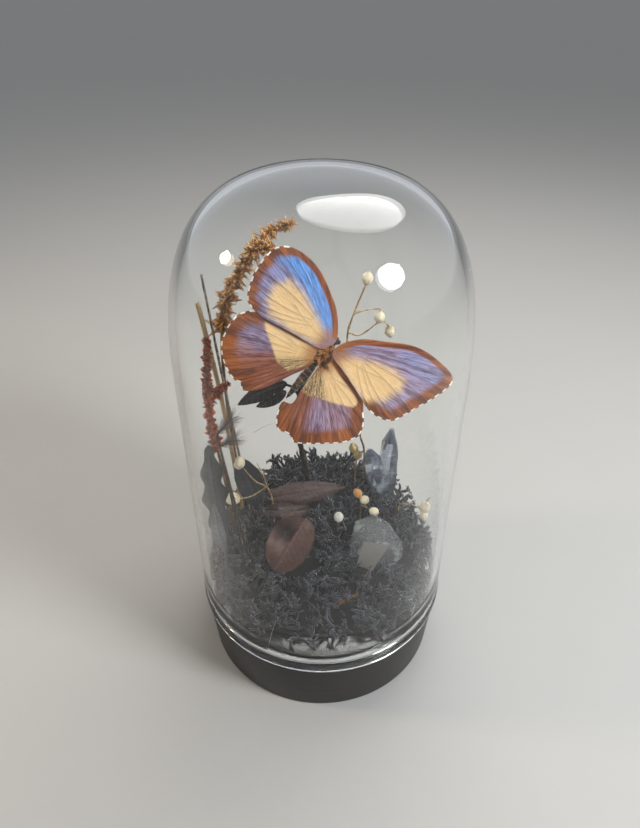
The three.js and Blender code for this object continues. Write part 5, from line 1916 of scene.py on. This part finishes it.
def quartz_finish(name, tint, density, clear, cloudy, relief, milky=None):
    finish = Finish(name, IOR=1.544)
    frost = finish.noise(2.6, 4, 0.6)
    veil = finish.between(finish.noise(6, 3, 0.6), 0.46, 0.7, 0, 0.42)
    pale = finish.blend(veil, cloudy, scaled(cloudy, 1.3))
    if milky:
        normal = finish.node("ShaderNodeNewGeometry").outputs["Normal"]
        facing = finish.node("ShaderNodeVectorMath", {0: normal, 1: milky[0]}, operation="DOT_PRODUCT")
        face = finish.between(facing.outputs["Value"], 0.985, 0.993, 0, 0.38)
        pale = finish.blend(face, pale, milky[1])
        veil = finish.math("MAXIMUM", veil, face)
    finish.set("Transmission Weight", finish.math("MULTIPLY_ADD", veil, -0.7, clear))
    finish.set("Roughness", finish.between(frost, 0.4, 0.66, 0.02, 0.22))
    if relief:
        lines = finish.noise(0.5, 3, 0.5, finish.stretched((0.25, 0.25, 1)))
        finish.set("Normal", finish.bump(lines, relief * 0.5, finish.bump(frost, relief)))
    absorb = finish.node("ShaderNodeVolumeAbsorption", {"Color": (*tint, 1), "Density": density})
    finish.tree.links.new(absorb.outputs[0], finish.tree.nodes["Material Output"].inputs["Volume"])
    return finish.done(pale)


class QuartzOperator(Operator):
    """Cuts the clear quartz point and the faceted quartz lump"""

    bl_idname = "glass_dome.quartz"
    bl_label = "Quartz"

    def execute(self, context):
        settings = context.scene.dome_quartz
        point = hull_mesh("quartz_crystal", crystal_points((28, 21, 47), (29.2, 20, 87), 4.4, 0.7, 9))
        shoulder = hull_mesh("shoulder", crystal_points((27.2, 19.6, 50), (20.2, 19, 77.6), 4.6, 0.75, 6))
        grey = quartz_finish("grey_quartz", settings.tint, 12.0, 0.92, tone(0xC3CBD8), 0.025)
        made = place("quartz_crystal", point, (grey,))
        other = place("shoulder", shoulder)
        union = made.modifiers.new("join", "BOOLEAN")
        union.operation, union.object, union.solver = "UNION", other, "EXACT"
        self.wear(made, settings.bevel)
        discard(other)
        hand_over(made, "quartz", "quartz_point")

        corners = [
            (12, -7, 41.5), (11.4, -5.6, 47.5), (14, 1.6, 53.6), (21, 2.6, 56.6), (27.4, 0.4, 54.6),
            (33.8, -5.2, 48.4), (33.4, -8.4, 43.2), (28.4, -11.4, 40), (20.6, -12.6, 39.4),
            (14.2, -11.2, 41.2), (17, -7.6, 51.6), (27.6, -8.6, 50.4), (16, 4, 42), (28, 3, 41),
            (22, -3, 36),
        ]
        warm = quartz_finish("warm_quartz", tone(0xE6E6E4), 8.0, 0.8, tone(0xA9ACAC), 0.0,
                             ((-0.06, -0.925, 0.375), tone(0xB39A80)))
        lump = place("quartz_boulder", hull_mesh("quartz_boulder", [Vector(p) for p in corners]), (warm,))
        self.wear(lump, settings.bevel * 0.4)
        hand_over(lump, "quartz", "quartz_lump")
        return {"FINISHED"}

    def wear(self, made, width):
        """Rounds the crystal's edges a little and makes its mesh a plain one."""
        bevel = made.modifiers.new("worn", "BEVEL")
        bevel.width, bevel.segments, bevel.limit_method = width, 4, "ANGLE"
        bevel.angle_limit = radians(12)
        made.data = evaluated(made)


# Leaves and twig on the moss

class LyingLeavesOperator(Operator):
    """Lays the brown leaves and the short twig on the moss"""

    bl_idname = "glass_dome.lying_leaves"
    bl_label = "Lying leaves"

    def execute(self, context):
        settings = context.scene.dome_flowers
        brown = settings.leaf
        plan = (
            ("long_pebbly_leaf", "pebbly_leaf", tone(0x33211D), 1.0,
             dict(midrib=[(-26, 13.6, 54.6), (-15, 13.4, 57), (-3, 15.4, 58), (10.4, 18.6, 57.4)],
                  face=(0, -0.62, 0.78), half_width=5.2, width=pointed, cup=-0.3, crease=0.8, pebbles=0.28,
                  dents=((0.35, 0.5, 0.18, 1.2), (0.7, -0.4, 0.15, -0.8)),
                  thickness=0.5)),
            ("crumpled_strip", "crumpled_leaf", tone(0x30201C), 1.0,
             dict(midrib=[(-25, 7, 54.4), (-18, 6, 55.6), (-11, 6.4, 54.6), (-4.6, 7, 55.6)],
                  face=(0, -0.5, 0.86), half_width=3, width=broad, cup=0.2, ruffle=0.9, crease=0.8, waves=0.8,
                  pebbles=0.1, thickness=0.5)),
            ("cupped_petal_leaf", "cupped_leaf", scaled(brown, 0.8), 0.0,
             dict(midrib=[(-6.4, 1.4, 55), (-10, -4.6, 53.8), (-14, -11, 50), (-18.4, -16.4, 44.4)],
                  face=(0, -0.45, 0.9), half_width=9, width=broad, cup=0.28, crease=-1.6, waves=0.3,
                  pebbles=0.05, thickness=0.6,
                  dents=((0.36, 0.5, 0.2, -4.6), (0.76, 0.3, 0.24, 2.2), (0.5, -0.6, 0.24, 1.2)))),
        )
        for name, node, ground, pebbly, form in plan:
            shape = Shape()
            add_leaf(shape, seed=len(name), steps=90, across=44, **form)
            skin = leaf_finish(name + "_skin", ground, scaled(ground, 1.8), pebbly, 0.42, tone(0x5E3824))
            deliver(shape, name, (skin,), "brown_leaf", node)
        shape = Shape()
        add_tube(shape, [(4, -27.5, 35.6), (9.4, -25.4, 37.4), (14.6, -23.6, 39)], (1, 0.8), 12, 30, 0.4, 8)
        bark = bark_finish("brown_bark", tone(0x2A1A12), tone(0x7A563C), 0.15)
        deliver(shape, "broken_twig", (bark,), "brown_twig", "short_twig")
        return {"FINISHED"}


# Stage

class StageOperator(Operator):
    """Sets the pale floor, the soft lights and the camera"""

    bl_idname = "glass_dome.stage"
    bl_label = "Stage"

    def execute(self, context):
        settings = context.scene.dome_stage
        scene = context.scene
        wide, photo_width, photo_height, sensor = 9.0, 640, 828, 36.0
        mesh = bpy.data.meshes.new("pale_floor")
        corners = [(-wide, -wide, 0), (wide, -wide, 0), (wide, wide, 0), (-wide, wide, 0)]
        mesh.from_pydata(corners, [], [(0, 1, 2, 3)])
        finish = Finish("pale_paper", Roughness=0.8)
        finish.done(finish.shades(finish.noise(60, 2), settings.floor_colour, 0.97, 1.0))
        place("pale_floor", mesh, (finish.material,))

        world = bpy.data.worlds.new("studio")
        scene.world = world
        world.use_nodes = True
        sky = world.node_tree.nodes["Background"].inputs
        sky["Color"].default_value, sky["Strength"].default_value = (0.9, 0.94, 1.0, 1), 0.62
        scene.view_settings.view_transform = "Standard"
        lights = (
            ("overhead", (0.14, 0.27, 0.68), 0.5, 4.2, (1.0, 0.99, 0.97)),
            ("window", (0.46, -0.28, 0.5), 0.22, 7.0, (0.92, 0.96, 1.0)),
            ("lamp", (-0.55, 0.0, 0.47), 0.1, 1.8, (1.0, 0.8, 0.58)),
        )
        for name, at, size, power, tint in lights:
            light = bpy.data.lights.new(name, "AREA")
            light.shape, light.size, light.energy, light.color = "DISK", size, power, tint
            lamp = bpy.data.objects.new(name, light)
            lamp.location = at
            aim = Vector((0, 0, 0.1)) - Vector(at)
            lamp.rotation_euler = aim.to_track_quat("-Z", "Y").to_euler()
            scene.collection.objects.link(lamp)

        lens = bpy.data.cameras.new("camera")
        lens.sensor_width, lens.lens = sensor, photo_width * sensor / photo_height
        lens.clip_start, lens.clip_end = 0.005, 20
        camera = bpy.data.objects.new("camera", lens)
        camera.location = (settings.eye_side, -settings.eye_back, settings.eye_height)
        camera.rotation_euler = Euler((pi / 2 - settings.look_down, 0, 0))
        scene.collection.objects.link(camera)
        scene.camera = camera
        return {"FINISHED"}

class DomePanel(bpy.types.Panel):
    """Lists the pieces of the dome"""

    bl_idname = "VIEW3D_PT_glass_dome"
    bl_label = "Glass dome"
    bl_space_type = "VIEW_3D"
    bl_region_type = "UI"
    bl_category = "Glass dome"

    def draw(self, context):
        for name, _ in SETTINGS:
            group = getattr(context.scene, name)
            box = self.layout.box()
            for key in group.bl_rna.properties.keys():
                if key not in {"rna_type", "name"}:
                    box.prop(group, key)
        for operator in OPERATORS:
            self.layout.operator(operator.bl_idname)


SETTINGS = (
    ("dome_stage", StageSettings), ("dome_case", CaseSettings), ("dome_moss", MossSettings),
    ("dome_butterfly", ButterflySettings), ("dome_flowers", FlowerSettings), ("dome_quartz", QuartzSettings),
)
OPERATORS = (
    StageOperator, BaseOperator, GlassOperator, DustOperator, MossOperator, BodyOperator, WingsOperator,
    TwigOperator, SpikesOperator, SticksOperator, TuftsOperator, StandingLeavesOperator,
    BabysBreathOperator, QuartzOperator, LyingLeavesOperator,
)
CLASSES = [settings for _, settings in SETTINGS] + list(OPERATORS) + [DomePanel]


def register():
    for made in CLASSES:
        bpy.utils.register_class(made)
    for name, settings in SETTINGS:
        setattr(bpy.types.Scene, name, PointerProperty(type=settings))


def unregister():
    for name, _ in SETTINGS:
        delattr(bpy.types.Scene, name)
    for made in reversed(CLASSES):
        bpy.utils.unregister_class(made)


def main():
    register()
    for operator in OPERATORS:
        family, name = operator.bl_idname.split(".")
        getattr(getattr(bpy.ops, family), name)()


if __name__ == "__main__":
    main()
